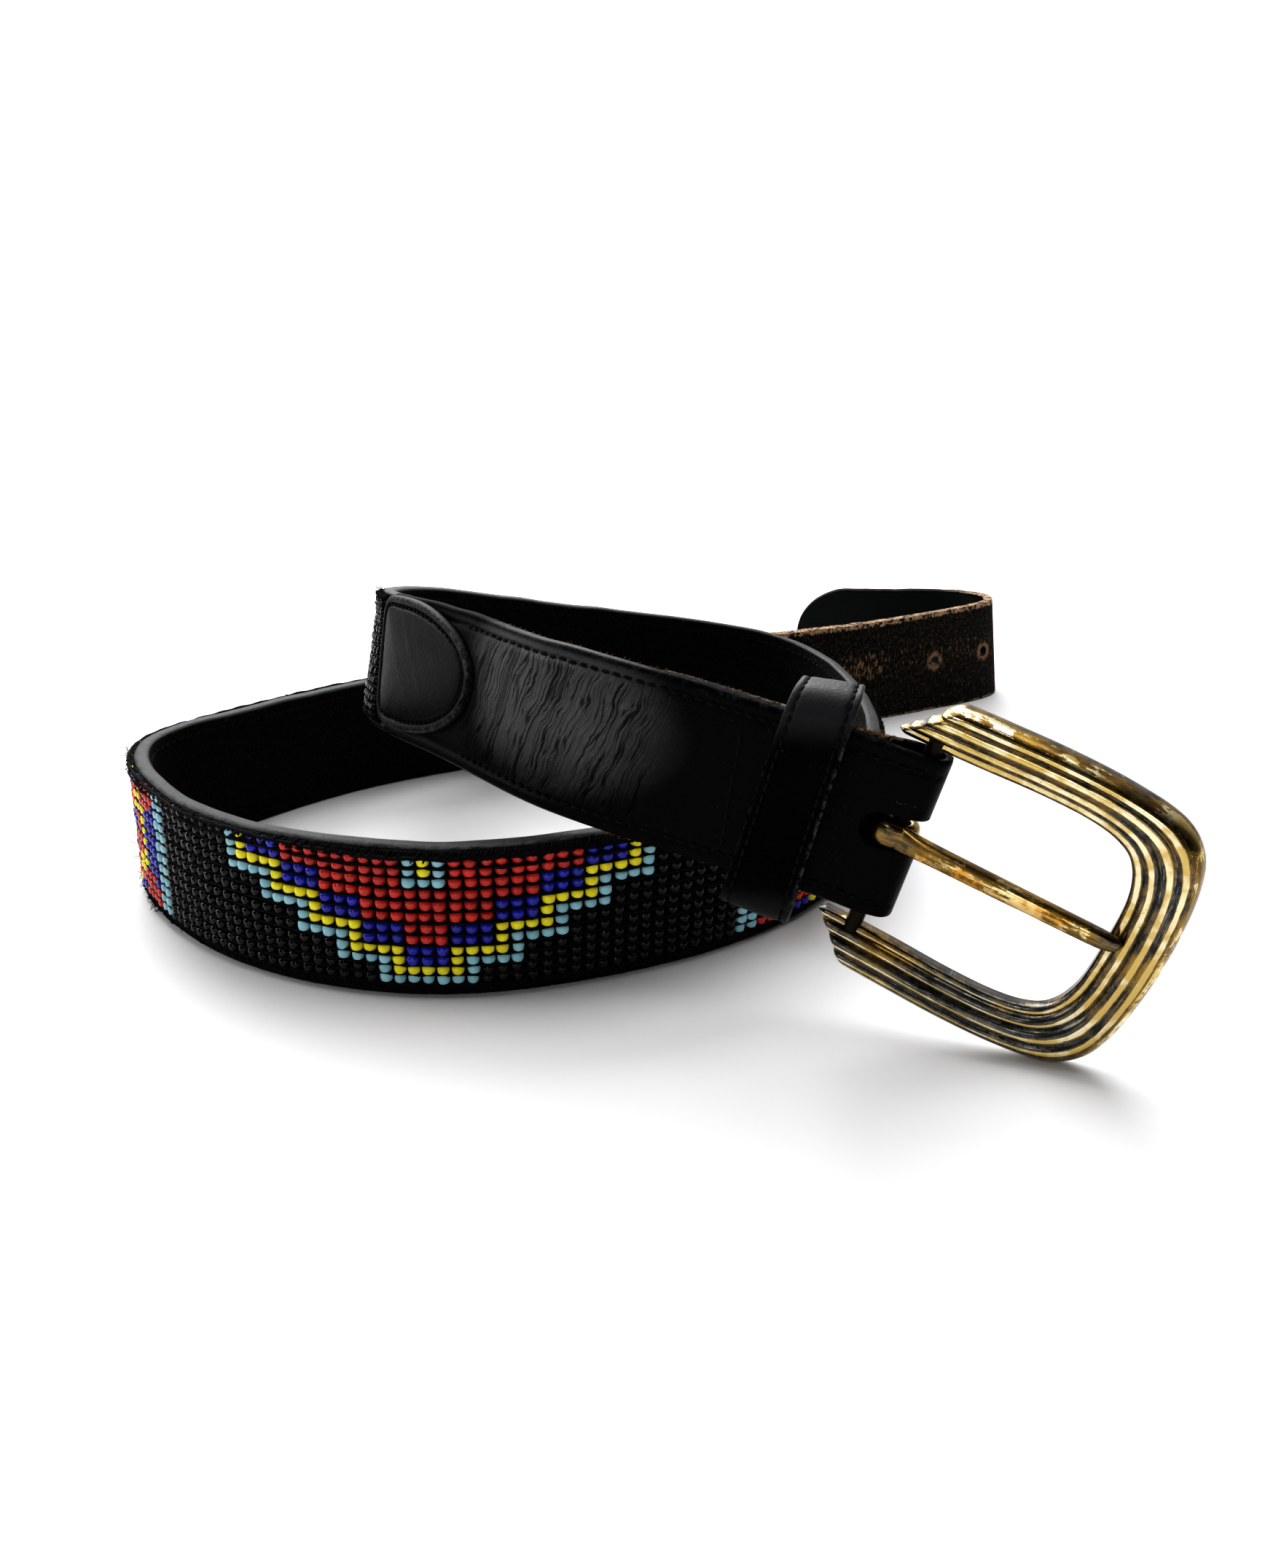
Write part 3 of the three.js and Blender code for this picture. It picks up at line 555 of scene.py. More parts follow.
def leather_soft(name, gloss=0.46, tint=(0.0018, 0.0019, 0.0021), pale=(0.0045, 0.0047, 0.0050), level=0.30, paint_bend_sheen=False):
    """Tab and keeper: black leather, gently dulled, with rubbed places; with the bend sheen on: duller at the front,
    and painted paler at the top and bottom bends as a painted sheen.
    """
    g = Graph(name)
    mm = g.scale(g.coords(), 1000.0)
    if paint_bend_sheen:
        z = g.split(mm)[2]
        bend_sheen = g.either(g.range(z, 60.0, 69.0), g.mul(g.range(z, 33.0, 28.0), 0.55))
        level = g.mul(bend_sheen, level)
        level = g.add(level, 0.012)
    pores = g.voronoi(mm, 1.5)
    fine = g.noise(mm, 1.7, 5, 0.65)
    blot = g.noise(mm, 0.10, 4, 0.6)
    colour = g.mix(g.range(blot, 0.35, 0.7), tint, pale)
    rub = g.mul(g.attr("rub", "Fac"), g.range(g.noise(mm, 0.7, 5, 0.72), 0.44, 0.60))
    colour = g.mix(g.mul(rub, 0.7), colour, (0.10, 0.095, 0.09))
    if paint_bend_sheen:
        # the top and bottom bends are painted a paler grey: a painted sheen
        colour = g.mix(g.mul(bend_sheen, 0.8), colour, (0.011, 0.012, 0.013))
    speck = g.range(g.noise(mm, 0.75, 5, 0.8), 0.66, 0.69)
    colour = g.mix(g.mul(speck, 0.5), colour, (0.10, 0.085, 0.06))
    rough = g.add(gloss, g.mul(g.sub(fine, 0.5), 0.3))
    height = g.add(g.mul(pores, 0.25), g.mul(fine, 0.45))
    return g.set(Base_Color=colour, Roughness=rough, Normal=g.bump(height, 0.75, 0.24), Specular_IOR_Level=level).mat


def glass_bead(name, colour, second, rough=0.16, level=0.5):
    """Opaque pressed glass. tone differs from bead to bead."""
    g = Graph(name)
    tone = g.attr("tone", "Fac")
    mm = g.scale(g.coords(), 1000.0)
    dust = g.range(g.noise(mm, 0.9, 4, 0.7), 0.55, 0.75)
    base = g.mix(tone, colour, second)
    grime = tuple(0.35 * c for c in colour)
    base = g.mix(g.mul(dust, 0.3), base, grime)
    rr = g.add(rough, g.add(g.mul(tone, 0.06), g.mul(dust, 0.12)))
    return g.set(Base_Color=base, Roughness=rr, Normal=g.bump(g.noise(mm, 0.9, 3, 0.5), 0.35, 0.25),
                 Specular_IOR_Level=level).mat


def thread(name, dark=(0.0015, 0.0015, 0.0016), light=(0.006, 0.006, 0.0062), rough=0.85):
    g = Graph(name)
    mm = g.scale(g.coords(), 1000.0)
    twist = g.noise(g.scale(mm, (1.0, 1.0, 2.2)), 3.0, 4, 0.6)
    return g.set(Base_Color=g.mix(g.range(twist, 0.35, 0.7), dark, light), Roughness=rough,
                 Normal=g.bump(twist, 0.6, 0.12), Specular_IOR_Level=0.12).mat


def worn_gold(name, seed=0.0):
    """Gold tone left on the crests and worn off to dark grey between. crest is 1 where the gold is soundest, 0 where it is
    gone; buckle holds length along, v across and c."""
    g = Graph(name)
    b = g.attr("buckle")
    along, v, c = g.split(b)[0:3]
    crest = g.attr("crest", "Fac")
    mm = g.vadd(g.scale(g.coords(), 1000.0), (seed, seed, 0.0))
    if seed == 0.0:
        # each row: the crest's v, and how far the gold reaches inward and outward of it
        gilt_line = None
        for at, inward, outward, sound in ((0.115, 0.075, 0.055, 0.92), (0.315, 0.065, 0.060, 0.95), (0.555, 0.060, 0.085, 1.0),
                                           (0.765, 0.055, 0.085, 0.90)):
            d = g.mul(g.sub(v, at), g.range(along, 86, 116, 1.08, 2.5))
            side_in = g.range(d, -inward, -inward * 0.35)
            side_out = g.range(d, outward * 0.35, outward, 1.0, 0.0)
            band = g.mul(g.mul(side_in, side_out), sound)
            gilt_line = band if gilt_line is None else g.either(gilt_line, band)
        face = g.range(c, -0.3, 0.3)
        crest = g.mul(gilt_line, face)
        dome = g.mul(g.range(v, 0.84, 0.88), g.range(c, -0.8, 0.6))
        crest = g.either(crest, g.mul(dome, 0.40))
    streak = g.noise(g.join(g.mul(along, 0.10), g.mul(v, 9.0), seed), 1.0, 6, 0.72)
    fine_streak = g.noise(g.join(g.mul(along, 0.30), g.mul(v, 34.0), seed), 1.0, 4, 0.7)
    blot = g.noise(mm, 0.20, 5, 0.72)
    broad = g.noise(mm, 0.055, 2, 0.5)
    speck = g.noise(mm, 1.1, 5, 0.8)
    lift = g.add(g.mul(g.sub(streak, 0.5), 0.85), g.mul(g.sub(blot, 0.5), 0.95))
    lift = g.add(lift, g.mul(g.sub(fine_streak, 0.5), 0.45))
    lift = g.add(lift, g.mul(g.sub(broad, 0.5), 0.9))
    if seed == 0.0:
        lift = g.mul(lift, 1.25)
    gold = g.range(g.add(crest, lift), 0.44, 0.52)
    gold = g.mul(gold, g.range(speck, 0.69, 0.65))
    brown = g.range(g.add(crest, g.add(lift, g.mul(g.sub(speck, 0.5), 0.5))), -0.12, 0.34)
    grey = g.mix(g.range(blot, 0.38, 0.62), (0.030, 0.031, 0.030), (0.105, 0.105, 0.095))
    grey = g.mix(g.range(fine_streak, 0.54, 0.66), grey, (0.27, 0.26, 0.24))
    base = g.mix(g.mul(brown, 0.85), grey, g.mix(g.range(streak, 0.4, 0.6), (0.13, 0.070, 0.012), (0.33, 0.20, 0.035)))
    gilt = g.mix(g.range(g.noise(mm, 0.16, 3, 0.6), 0.42, 0.60), (0.60, 0.43, 0.14), (0.90, 0.78, 0.50))
    if seed != 0.0:
        gilt = g.mix(g.range(g.noise(mm, 0.16, 3, 0.6), 0.42, 0.62), (0.66, 0.31, 0.045), (0.93, 0.74, 0.36))
    base = g.mix(gold, base, gilt)
    nick = g.range(g.noise(g.join(g.mul(along, 1.3), g.mul(v, 9.0), g.add(seed, 1.0)), 1.0, 5, 0.78), 0.665, 0.69)
    pit = g.range(g.noise(mm, 0.62, 5, 0.8), 0.675, 0.69)
    marks = g.either(g.mul(nick, 0.85), g.mul(pit, 0.8))
    base = g.mix(marks, base, (0.02, 0.014, 0.008))
    rough = g.add(g.mixf(gold, 0.27, 0.16), g.mul(g.sub(speck, 0.5), 0.25))
    height = g.sub(g.add(g.mul(speck, 0.2), g.mul(gold, 0.3)), g.mul(marks, 0.8))
    return g.set(Base_Color=base, Metallic=1.0, Roughness=rough, Normal=g.bump(height, 0.35, 0.12)).mat


# ------------------------------------------------------------------ strap
POCKET = dict(reach=1.4, radius=2.25, wall=1.4, wedge=8.0, end=12.0)
FOLD_WIDTH, FOLD_DROP = 34.6, -1.0
TIP_START, TIP_END = 1043.0, 1062.6
HOLES_AT = [949.2, 972.8, 996.4, 1020.0]
_p0, _t0, _w0, _n0 = [x[0] for x in frame_s(np.array([0.0]))]
_shift = BAR - _p0 - _w0 * STRAP_WIDTH / 2
POCKET_X, POCKET_Y = float(_shift @ _t0), float(_shift @ _n0)
FOLD_START = POCKET_X - POCKET["reach"] - POCKET["radius"] - POCKET["wall"]


def edges(s):
    narrow = 1 - np.clip(s / 17.0, 0, 1)
    low = ((STRAP_WIDTH - FOLD_WIDTH) / 2 + FOLD_DROP) * narrow
    high = STRAP_WIDTH - ((STRAP_WIDTH - FOLD_WIDTH) / 2 - FOLD_DROP) * narrow
    x = np.clip((s - TIP_START) / (TIP_END + 0.15 - TIP_START), 0, 0.9999)
    half = STRAP_WIDTH / 2 * np.sqrt(1 - x ** 2)
    tip = s > TIP_START
    return np.where(tip, STRAP_WIDTH / 2 - half, low), np.where(tip, STRAP_WIDTH / 2 + half, high)


def faces_at(s):
    """Inner and outer face of the strap at its middle, n in millimetres."""
    x = s - POCKET_X * (1 - np.clip(s / 12, 0, 1))
    bulge = np.interp(x, [1.4, 3.0, 5.0, 8.0, 12.0, 14.0], [3.65, 3.5, 3.18, 2.62, 2.16, 2.1])
    round_end = np.sqrt(np.clip(3.65 ** 2 - np.clip(-1.4 - x, 0, 3.65) ** 2, 0.02, None))
    fold = np.where(x < 1.4, np.where(x < -1.4, round_end, 3.65), bulge)
    shift = POCKET_Y * (1 - np.clip(x / 12, 0, 1))
    outer = lerp(2.1, 1.1, step(s, 146.2, 147.6))
    inner = np.interp(s, [51.2, 52.4, 146.4, 147.6], [-2.1, -0.9, -0.9, -2.1])
    near = s < 14
    return np.where(near, -fold + shift, inner), np.where(near, fold + shift, outer)


def strap_ring(s):
    """The section at s: rows of n, h."""
    low, high = [float(v) for v in edges(np.array(s))]
    inner, outer = [float(v) for v in faces_at(np.array(s))]
    bead = float(step(s, 151, 154) * (1 - step(s, 853, 857)))
    tail = float(step(s, 853, 857))
    plain = 1 - bead - tail
    lip = outer + 0.75 * bead
    r = 0.85 * plain + 1.25 * bead + 0.42 * tail
    r = min(r, (lip - inner) / 2 * 0.96, (high - low) / 4)
    def arc(cx, cy, a0, a1, m):
        a = np.radians(np.linspace(a0, a1, m))
        return np.stack([cx + r * np.cos(a), cy + r * np.sin(a)], 1)
    parts = [arc(inner + r, low + r, 180, 270, 6), arc(lip - r, low + r, 270, 360, 6)]
    x = np.linspace(0, 1, 60)[1:-1]
    x = x - 0.09 * np.sin(2 * math.pi * x) * 0.9      # closer together near both edges
    hh = low + r + x * (high - low - 2 * r)
    n = np.full_like(hh, outer)
    from_edge = np.minimum(hh - low, high - hh)
    # beads: the edge stands proud as a lip, and the middle is sunk under the beads
    from_top, from_low = high - hh, hh - low
    n += bead * 0.75 * (1 - step(from_top, 1.25, 1.6) * step(from_low, 1.35, 1.8))
    n -= bead * 0.75 * step(from_top, 1.5, 2.0) * step(from_low, 2.3, 2.9)
    # buckle strand: a sewn groove inside a raised rim, and a soft belly between
    rim = np.exp(-((from_edge - 3.0) / 0.62) ** 2)
    n -= plain * (0.42 * rim) * (1 if s > -1 else max(0, 1 + (s + 1) / 2))
    n += plain * 0.10 * step(from_edge, 3.5, 9) * (1 if s > 14 else 0)
    if tail > 0:
        n -= tail * 0.06 * np.exp(-((from_edge - 2.2) / 0.5) ** 2)
    parts.append(np.stack([n, hh], 1))
    parts += [arc(lip - r, high - r, 0, 90, 6), arc(inner + r, high - r, 90, 180, 6)]
    hi = np.linspace(high - r, low + r, 20)[1:-1]
    ni = np.full_like(hi, inner)
    parts.append(np.stack([ni, hi], 1))
    return np.concatenate(parts)


def strap_stations():
    start = [FOLD_START + d for d in (0.0, 0.08, 0.25, 0.5, 0.85, 1.3, 1.8, 2.4, 3.0)]
    body = list(np.arange(FOLD_START + 3.65, 20, 0.7)) + list(np.arange(20, TIP_START - 1, 1.55))
    steps = [51.2, 51.8, 52.4, 146.2, 146.9, 147.6, 151, 152, 153, 154, 853, 855, 857]
    body = [s for s in body if min(abs(s - k) for k in steps) > 0.45] + steps
    tip = [TIP_START + (TIP_END - TIP_START) * math.sin(x * math.pi / 2) for x in np.linspace(0, 1, 26)]
    return sorted(start + body + tip)


def strap_points(ss):
    rings = np.stack([strap_ring(float(s)) for s in ss])
    s2 = np.repeat(np.asarray(ss)[:, None], rings.shape[1], 1)
    n, h = rings[..., 0].copy(), rings[..., 1].copy()
    # hand-cut edges and slightly uneven faces
    top = step(h, 24, 35) * step(s2, 14, 40)
    h += 0.16 * top * noise1(s2, 11, 9.0) + 0.10 * top * noise1(s2, 12, 2.7) * step(s2, 840, 900)
    plain = (s2 > 30) & (s2 < 146)
    # shallow puckers where the buckle strand has bent
    crease = np.sin((s2 + 0.34 * h) * 1.35 + 1.2 * noise1(s2 + 0.34 * h, 5, 6.0))
    amount = step(s2, 56, 68) * (1 - step(s2, 98, 106)) * step(np.minimum(h, 35 - h), 3.6, 7)
    n += np.where(plain & (n > 1.5), 0.07 * amount * crease, 0)
    return place(s2, n, h)


ss = strap_stations()
pts = strap_points(ss)
strap = loft("strap_leather", pts)


def shape_cutter(name, outline, axes, origin, low, high):
    """An outline in (x, y) of the axes, drawn out along the third from low to high."""
    x, y, z = axes
    m = len(outline)
    o = np.asarray(outline, float)
    bottom = origin + o[:, :1] * x + o[:, 1:] * y + low * z
    top = origin + o[:, :1] * x + o[:, 1:] * y + high * z
    faces = [(i, (i + 1) % m, m + (i + 1) % m, m + i) for i in range(m)]
    faces += [tuple(range(m - 1, -1, -1)), tuple(range(m, 2 * m))]
    return new_mesh(name, np.concatenate([bottom, top]), faces, smooth=False)


def arc_points(cx, cy, r, a0, a1, m):
    a = np.radians(np.linspace(a0, a1, m))
    return [(cx + r * math.cos(q), cy + r * math.sin(q)) for q in a]


pocket = [(8.0, 0.0), (5.0, 1.2)] + arc_points(-1.4, 0, 2.25, 90, 270, 25) + [(1.4, -2.25), (5.0, -1.2)]
pocket.insert(2, (1.4, 2.25))
cut(strap, shape_cutter("pocket", pocket, (_t0, _n0, np.cross(_t0, _n0)), BAR, -30, 30))
SLOT_UP, SLOT_HALF = 2.6, 3.7


def slot_shape(to):
    return ([(-12, SLOT_UP - SLOT_HALF)] + arc_points(to - SLOT_HALF, SLOT_UP, SLOT_HALF, -90, 90, 25) + [(-12, SLOT_UP + SLOT_HALF)])


# the layer turned back behind the strap has the shorter slot
cut(strap, shape_cutter("slot", slot_shape(7.7), (_t0, _w0, np.cross(_t0, _w0)), BAR, -9, 0.05))
cut(strap, shape_cutter("slot_back", slot_shape(4.75), (_t0, _w0, np.cross(_t0, _w0)), BAR, 0.0, 9))
for at in HOLES_AT:
    p, t, w, n = [x[0] for x in frame_s(np.array([at]))]
    ring = arc_points(0, 0, 1.75, 0, 360 - 15, 24)
    cut(strap, shape_cutter("hole", ring, (t, w, np.cross(t, w)), p + w * 17.5, -5, 5))

# s, h and n of each vertex, found from the nearest point of the strap's middle surface
grid_s = np.arange(-4.0, LENGTH + 0.5, 1.0)
grid_h = np.arange(0.0, 35.1, 2.5)
gs, gh = np.meshgrid(grid_s, grid_h, indexing="ij")
gp = place(gs, np.full_like(gs, -0.4), gh, floor=-9)
tree = kdtree.KDTree(gs.size)
for i, co in enumerate(gp.reshape(-1, 3)):
    tree.insert(co, i)
tree.balance()


def belt_coords(co):
    near = np.array([tree.find(v)[1] for v in co])
    s = gs.ravel()[near]
    for _ in range(2):
        p, t, w, n = frame_s(s)
        s = s + ((co - p - w * gh.ravel()[near][:, None]) * t).sum(1)
    p, t, w, n = frame_s(s)
    d = co - p
    return np.stack([s, (d * w).sum(1), (d * n).sum(1)], 1)


co = points_of(strap)
shn = belt_coords(co)
attribute(strap, "belt", shn)

me = strap.data
me.materials.clear()
for m in (leather_grain(), leather_flesh(), leather_lip(), leather_cut()):
    me.materials.append(m)
count = len(me.polygons)
verts_of = [list(p.vertices) for p in me.polygons]
centre = np.array([shn[v].mean(0) for v in verts_of])
normal = np.zeros(count * 3, np.float32)
me.polygons.foreach_get("normal", normal)
normal = normal.reshape(-1, 3)
_, ft, fw, fn = frame_s(centre[:, 0])
out = (normal * fn).sum(1)
up = (normal * fw).sum(1)
s_c, h_c, n_c = centre.T
low_c, high_c = edges(s_c)
rim_c = np.minimum(h_c - low_c, high_c - h_c)
index = np.zeros(count, np.int32)
inner_c, outer_c = faces_at(s_c)
index[(out < -0.75) & (n_c < 0.2)] = 1
bead_c = (s_c > 152) & (s_c < 855)
index[bead_c & (rim_c < 1.9) & (out > -0.8)] = 2
tail_c = s_c >= 855
index[tail_c & (np.abs(out) < 0.75)] = 3
hole_c = tail_c & (rim_c > 6) & (np.abs(out) < 0.6) & (s_c < TIP_START - 5)
index[hole_c] = 0
inside_fold = (s_c < 11) & (np.abs(n_c - POCKET_Y) < 2.9) & (np.abs(out) < 0.98) & (rim_c > 0.9)
index[inside_fold & ((np.abs(h_c - 17.6) < 4.2) | (out * n_c < 0))] = 1
me.polygons.foreach_set("material_index", index)
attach(strap, "belt")
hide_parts("strap", "bar_fold")

# ------------------------------------------------------------------ sewing
stitch_thread = thread("stitch_thread", (0.0012, 0.0012, 0.0013), (0.0065, 0.0065, 0.0068))


def stitch(a, b, lift, arch=0.28, points=5):
    """A stitch from a to b that arches off the surface along lift."""
    x = np.linspace(0, 1, points)[:, None]
    return a * (1 - x) + b * x + lift * (arch * np.sin(math.pi * x) - 0.12)


def seam_on_strap(path, pitch, gap, depth):
    """path(d) gives s, h, n at length d; yields stitches from 0 to the seam's length."""
    made = []
    s, h, n = path
    p = place(s, n, h)
    d = np.concatenate([[0], np.cumsum(np.linalg.norm(np.diff(p, axis=0), axis=1))])
    at = 0.4
    while at + pitch < d[-1]:
        a = np.array([np.interp(at, d, p[:, k]) for k in range(3)])
        b = np.array([np.interp(at + pitch - gap, d, p[:, k]) for k in range(3)])
        m = np.interp(at + pitch / 2, d, s)
        out = frame_s(np.array([m]))[3][0]
        a = a + RNG.normal(0, 0.07, 3)
        b = b + RNG.normal(0, 0.07, 3)
        made.append((stitch(a, b, out * depth, 0.5), None))
        at += pitch
    return made


lines = []
q = np.linspace(1.0, 110.0, 400)
lo, hi = edges(q)
_, o = faces_at(q)
lines += seam_on_strap((q, hi - 3.0, o - 0.30), 2.7, 0.75, 0.5)
lines += seam_on_strap((q, lo + 3.0, o - 0.30), 2.7, 0.75, 0.5)
for s_top, s_low in ((12.3, 12.3), (33.0, 33.0)):
    hh = np.linspace(4.2, 31.0, 60)
    sq = np.linspace(s_low, s_top, 60)
    _, o = faces_at(sq)
    lines += seam_on_strap((sq, hh, o + 0.02), 2.7, 0.75, 0.5)
# the same seams on the strand's inner side
q = np.linspace(14.0, 853.0, 3400)
lo, hi = edges(q)
inn, _ = faces_at(q)
for h_at in (hi - 3.0, lo + 3.0):
    for pts_, r in seam_on_strap((q, h_at, inn - 0.02), 2.7, 0.75, -0.5):
        lines.append((pts_, r))
stitches = tubes("strap_stitches", lines, 0.30, 5, 0.5)
stitches.data.materials.append(stitch_thread)
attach(stitches, "belt")

# ------------------------------------------------------------------ beads
ROWS = 12
ROW_HEIGHTS = [4.65, 6.85, 9.15, 11.5, 14.05, 16.65, 19.35, 22.0, 24.7, 27.35, 29.75, 31.95]
COLUMN_PITCH, MOTIF_AT = 3.075, 552.15
COLUMN_LEAN = 0.043
PANEL_FROM, PANEL_TO = 155.2, 854.0

# Stepped figure, half of it, by column from its middle: rows (from the bottom, 1 to 12) of each colour band.
# Each entry: (light blue from, to), (yellow from, to), (blue from, to), red from
STEPPED = {
    0: None, 1: None,
    2: ((1, 1), (2, 4), (5, 6), 7), 3: ((1, 3), (4, 4), (5, 6), 7), 4: ((3, 3), (4, 4), (5, 6), 7),
    5: ((3, 3), (4, 6), (7, 8), 9), 6: ((3, 5), (6, 6), (7, 8), 9), 7: ((5, 5), (6, 6), (7, 8), 9),
    8: ((5, 5), (6, 8), (9, 10), 11), 9: ((5, 7), (8, 8), (9, 10), 11), 10: ((7, 7), (8, 8), (9, 10), 11),
    11: ((7, 7), (8, 10), (11, 12), 13), 12: ((7, 9), (10, 10), (11, 12), 13), 13: ((9, 9), (10, 10), (11, 12), 13),
    14: ((9, 9), (10, 12), (13, 12), 13), 15: ((9, 12), (13, 12), (13, 12), 13),
}


def stepped(column, row):
    c = abs(column)
    if c > 15:
        return "black"
    if c < 2:
        if row in (1, 10):
            return "light"
        if row == 2:
            return "yellow"
        if row in (3, 4):
            return "blue"
        if row >= 11:
            return "yellow" if c == 0 else "light"
        return "red"
    light, yellow, blue, red = STEPPED[c]
    if light[0] <= row <= light[1]:
        return "light"
    if yellow[0] <= row <= yellow[1]:
        return "yellow"
    if blue[0] <= row <= blue[1]:
        return "blue"
    return "red" if row >= red else "black"


def banded(column, row, half):
    """Full-height figure: light blue edges, a blue arrowhead on red inside each, and yellow-edged points in the middle."""
    c = half - abs(column)                  # 0 at the edge
    away = abs(row - 6.5)                   # from the middle between rows 6 and 7
    if c < 2:
        return "light"
    if c < 5:
        return "blue" if away <= 3.6 - 0.5 * (c - 2) else "red"
    if c < 6:
        return "yellow" if away < 3.1 else "red"
    if c < 8:
        return "yellow" if 1.6 < away < 3.6 else ("blue" if away > 4.6 else "red")
    if c < 10:
        return "blue" if away <= 2.1 - (c - 8) else ("yellow" if away > 4.6 else "red")
    k = c - 10
    if away <= 1.1 + 0.5 * k:
        return "blue"
    if away <= 2.1 + 0.5 * k:
        return "yellow"
    return "red"


def colour_at(column, row):
    """column is counted from the front figure's middle, towards the left turn."""
    if column < -61:
        return stepped(column + 110, row)
    if -60 <= column <= -23:
        return banded(column + 41.5, row, 18.5)
    if 25 <= column <= 62:
        return banded(column - 43.5, row, 18.5)
    if column > 72:
        return stepped(column - 88, row)
    return stepped(column, row)


def bead_shape(segments=12):
    """Barrel round its hole: rings of (radius, height)."""
    profile = [(0.40, -0.94), (0.90, -1.04), (1.29, -0.74), (1.40, 0.0), (1.29, 0.74), (0.90, 1.04), (0.40, 0.94)]
    a = np.arange(segments) / segments * 2 * math.pi
    v = np.array([[r * math.cos(x), r * math.sin(x), z] for r, z in profile for x in a])
    f = []
    rings = len(profile)
    for k in range(rings):
        m = (k + 1) % rings
        for i in range(segments):
            j = (i + 1) % segments
            f += [(k * segments + i, k * segments + j, m * segments + j), (k * segments + i, m * segments + j, m * segments + i)]
    return v, np.array(f)


def row_lift(s):
    """The upper rows lie a little higher at the left turn and beyond."""
    return 1.05 * step(s, 562, 598) + 0.25 * (1 - step(s, 500, 530))


bead_v, bead_f = bead_shape()
columns = range(int(math.ceil((PANEL_FROM + 1.4 - MOTIF_AT) / COLUMN_PITCH)), int((PANEL_TO - 1.4 - MOTIF_AT) / COLUMN_PITCH) + 1)
beads = {}
for column in columns:
    for row in range(1, ROWS + 1):
        s = MOTIF_AT + column * COLUMN_PITCH + COLUMN_LEAN * (32.0 - ROW_HEIGHTS[row - 1]) + RNG.normal(0, 0.10)
        h = ROW_HEIGHTS[row - 1] + float(row_lift(s)) * min(1.0, (row - 1) / 6.0) + RNG.normal(0, 0.07)
        name = colour_at(column, row)
        if name == "black":
            name = "black_buckle_side" if s < 508 else "black_tail_side"
        beads.setdefault(name, []).append((s, h, 1.80 + RNG.normal(0, 0.08)))
PAINT = {
    "red": ((0.62, 0.026, 0.016), (0.44, 0.016, 0.010)),
    "blue": ((0.010, 0.014, 0.40), (0.012, 0.014, 0.25)),
    "yellow": ((0.95, 0.84, 0.012), (0.86, 0.73, 0.010)),
    "light": ((0.32, 0.60, 0.67), (0.24, 0.49, 0.57)),
    "black_buckle_side": ((0.0004, 0.0004, 0.0005), (0.0008, 0.0008, 0.0010)),
    "black_tail_side": ((0.0004, 0.0004, 0.0005), (0.0008, 0.0008, 0.0010)),
}
glass = {k: glass_bead("glass_" + k, *PAINT[k], rough=0.04 if "black" in k else 0.13, level=0.21 if "black" in k else 0.36)
         for k in PAINT if k != "black_tail_side"}
glass["black_tail_side"] = glass["black_buckle_side"]
for name, places_ in beads.items():
    P = np.array(places_)
    m = len(P)
    _, t, w, n = frame_s(P[:, 0])
    centre_ = place(P[:, 0], P[:, 2], P[:, 1], floor=-9)
    # each bead is a little out of true, and no two are quite alike
    tilt, turn = RNG.normal(0, 0.06, m), RNG.normal(0, 0.07, m)
    t2 = t + w * tilt[:, None] + n * turn[:, None]
    t2 /= np.linalg.norm(t2, axis=1, keepdims=True)
    n2 = np.cross(w, t2)
    n2 /= np.linalg.norm(n2, axis=1, keepdims=True)
    w2 = np.cross(t2, n2)
    sx, sz = 1 + RNG.normal(0, 0.04, m), 1 + RNG.normal(0, 0.07, m)
    v = (centre_[:, None] + bead_v[None, :, :1] * sx[:, None, None] * t2[:, None]
         + bead_v[None, :, 1:2] * sx[:, None, None] * n2[:, None] + bead_v[None, :, 2:] * sz[:, None, None] * w2[:, None])
    f = bead_f[None] + (np.arange(m) * len(bead_v))[:, None, None]
    ob = tri_mesh("beads_" + name, v.reshape(-1, 3), f.reshape(-1, 3))
    attribute(ob, "tone", np.repeat(RNG.random(m), len(bead_v)))
    ob.data.materials.append(glass[name])
    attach(ob, "belt")
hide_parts("bead_panel")

# threads between the rows, and the cloth they lie on
warp = thread("warp_thread", (0.0012, 0.0012, 0.0013), (0.0042, 0.0042, 0.0044), 0.9)
q = np.arange(PANEL_FROM + 0.4, PANEL_TO - 0.3, 1.5)
lines = []
between = [3.3] + [(a + b) / 2 for a, b in zip(ROW_HEIGHTS, ROW_HEIGHTS[1:])] + [33.0]
for k, h_k in enumerate(between):
    h = h_k + row_lift(q) * min(1.0, k / 6.0)
    wave = 0.10 * np.sin(q * 2 * math.pi / (2 * COLUMN_PITCH) + k * math.pi) + 0.06 * noise1(q, 40 + k, 3.0)
    top = k >= ROWS - 1
    out_ = (2.95 if top else 2.62) + (0.30 if top else 0.14) * noise1(q, 60 + k, 4.0)
    lines.append((place(q, out_, h + wave, floor=-9), 0.46 if top else 0.36))
    lines.append((place(q + 0.4, 2.1 + 0.2 * noise1(q, 80 + k, 3.0), h - 1.4 * wave, floor=-9), 0.34))
ob = tubes("warp_threads", lines, 0.30, 4)
ob.data.materials.append(warp)
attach(ob, "belt")

q = np.arange(PANEL_FROM, PANEL_TO + 0.1, 2.0)
base_ring = [(0.25, 1.9), (1.35, 1.8), (1.75, 2.3), (1.2, 3.3), (0.9, 4.0)]
ring = np.array(base_ring + [(0.9, 32.2), (1.2, 32.9), (1.6, 33.5), (1.2, 33.75), (0.25, 33.6)])
sq = np.repeat(q[:, None], len(ring), 1)
cloth = loft("bead_backing", place(sq, ring[None, :, 0] + 0 * sq, ring[None, :, 1] + 0 * sq, floor=0.05))
cloth.data.materials.append(warp)
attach(cloth, "belt")

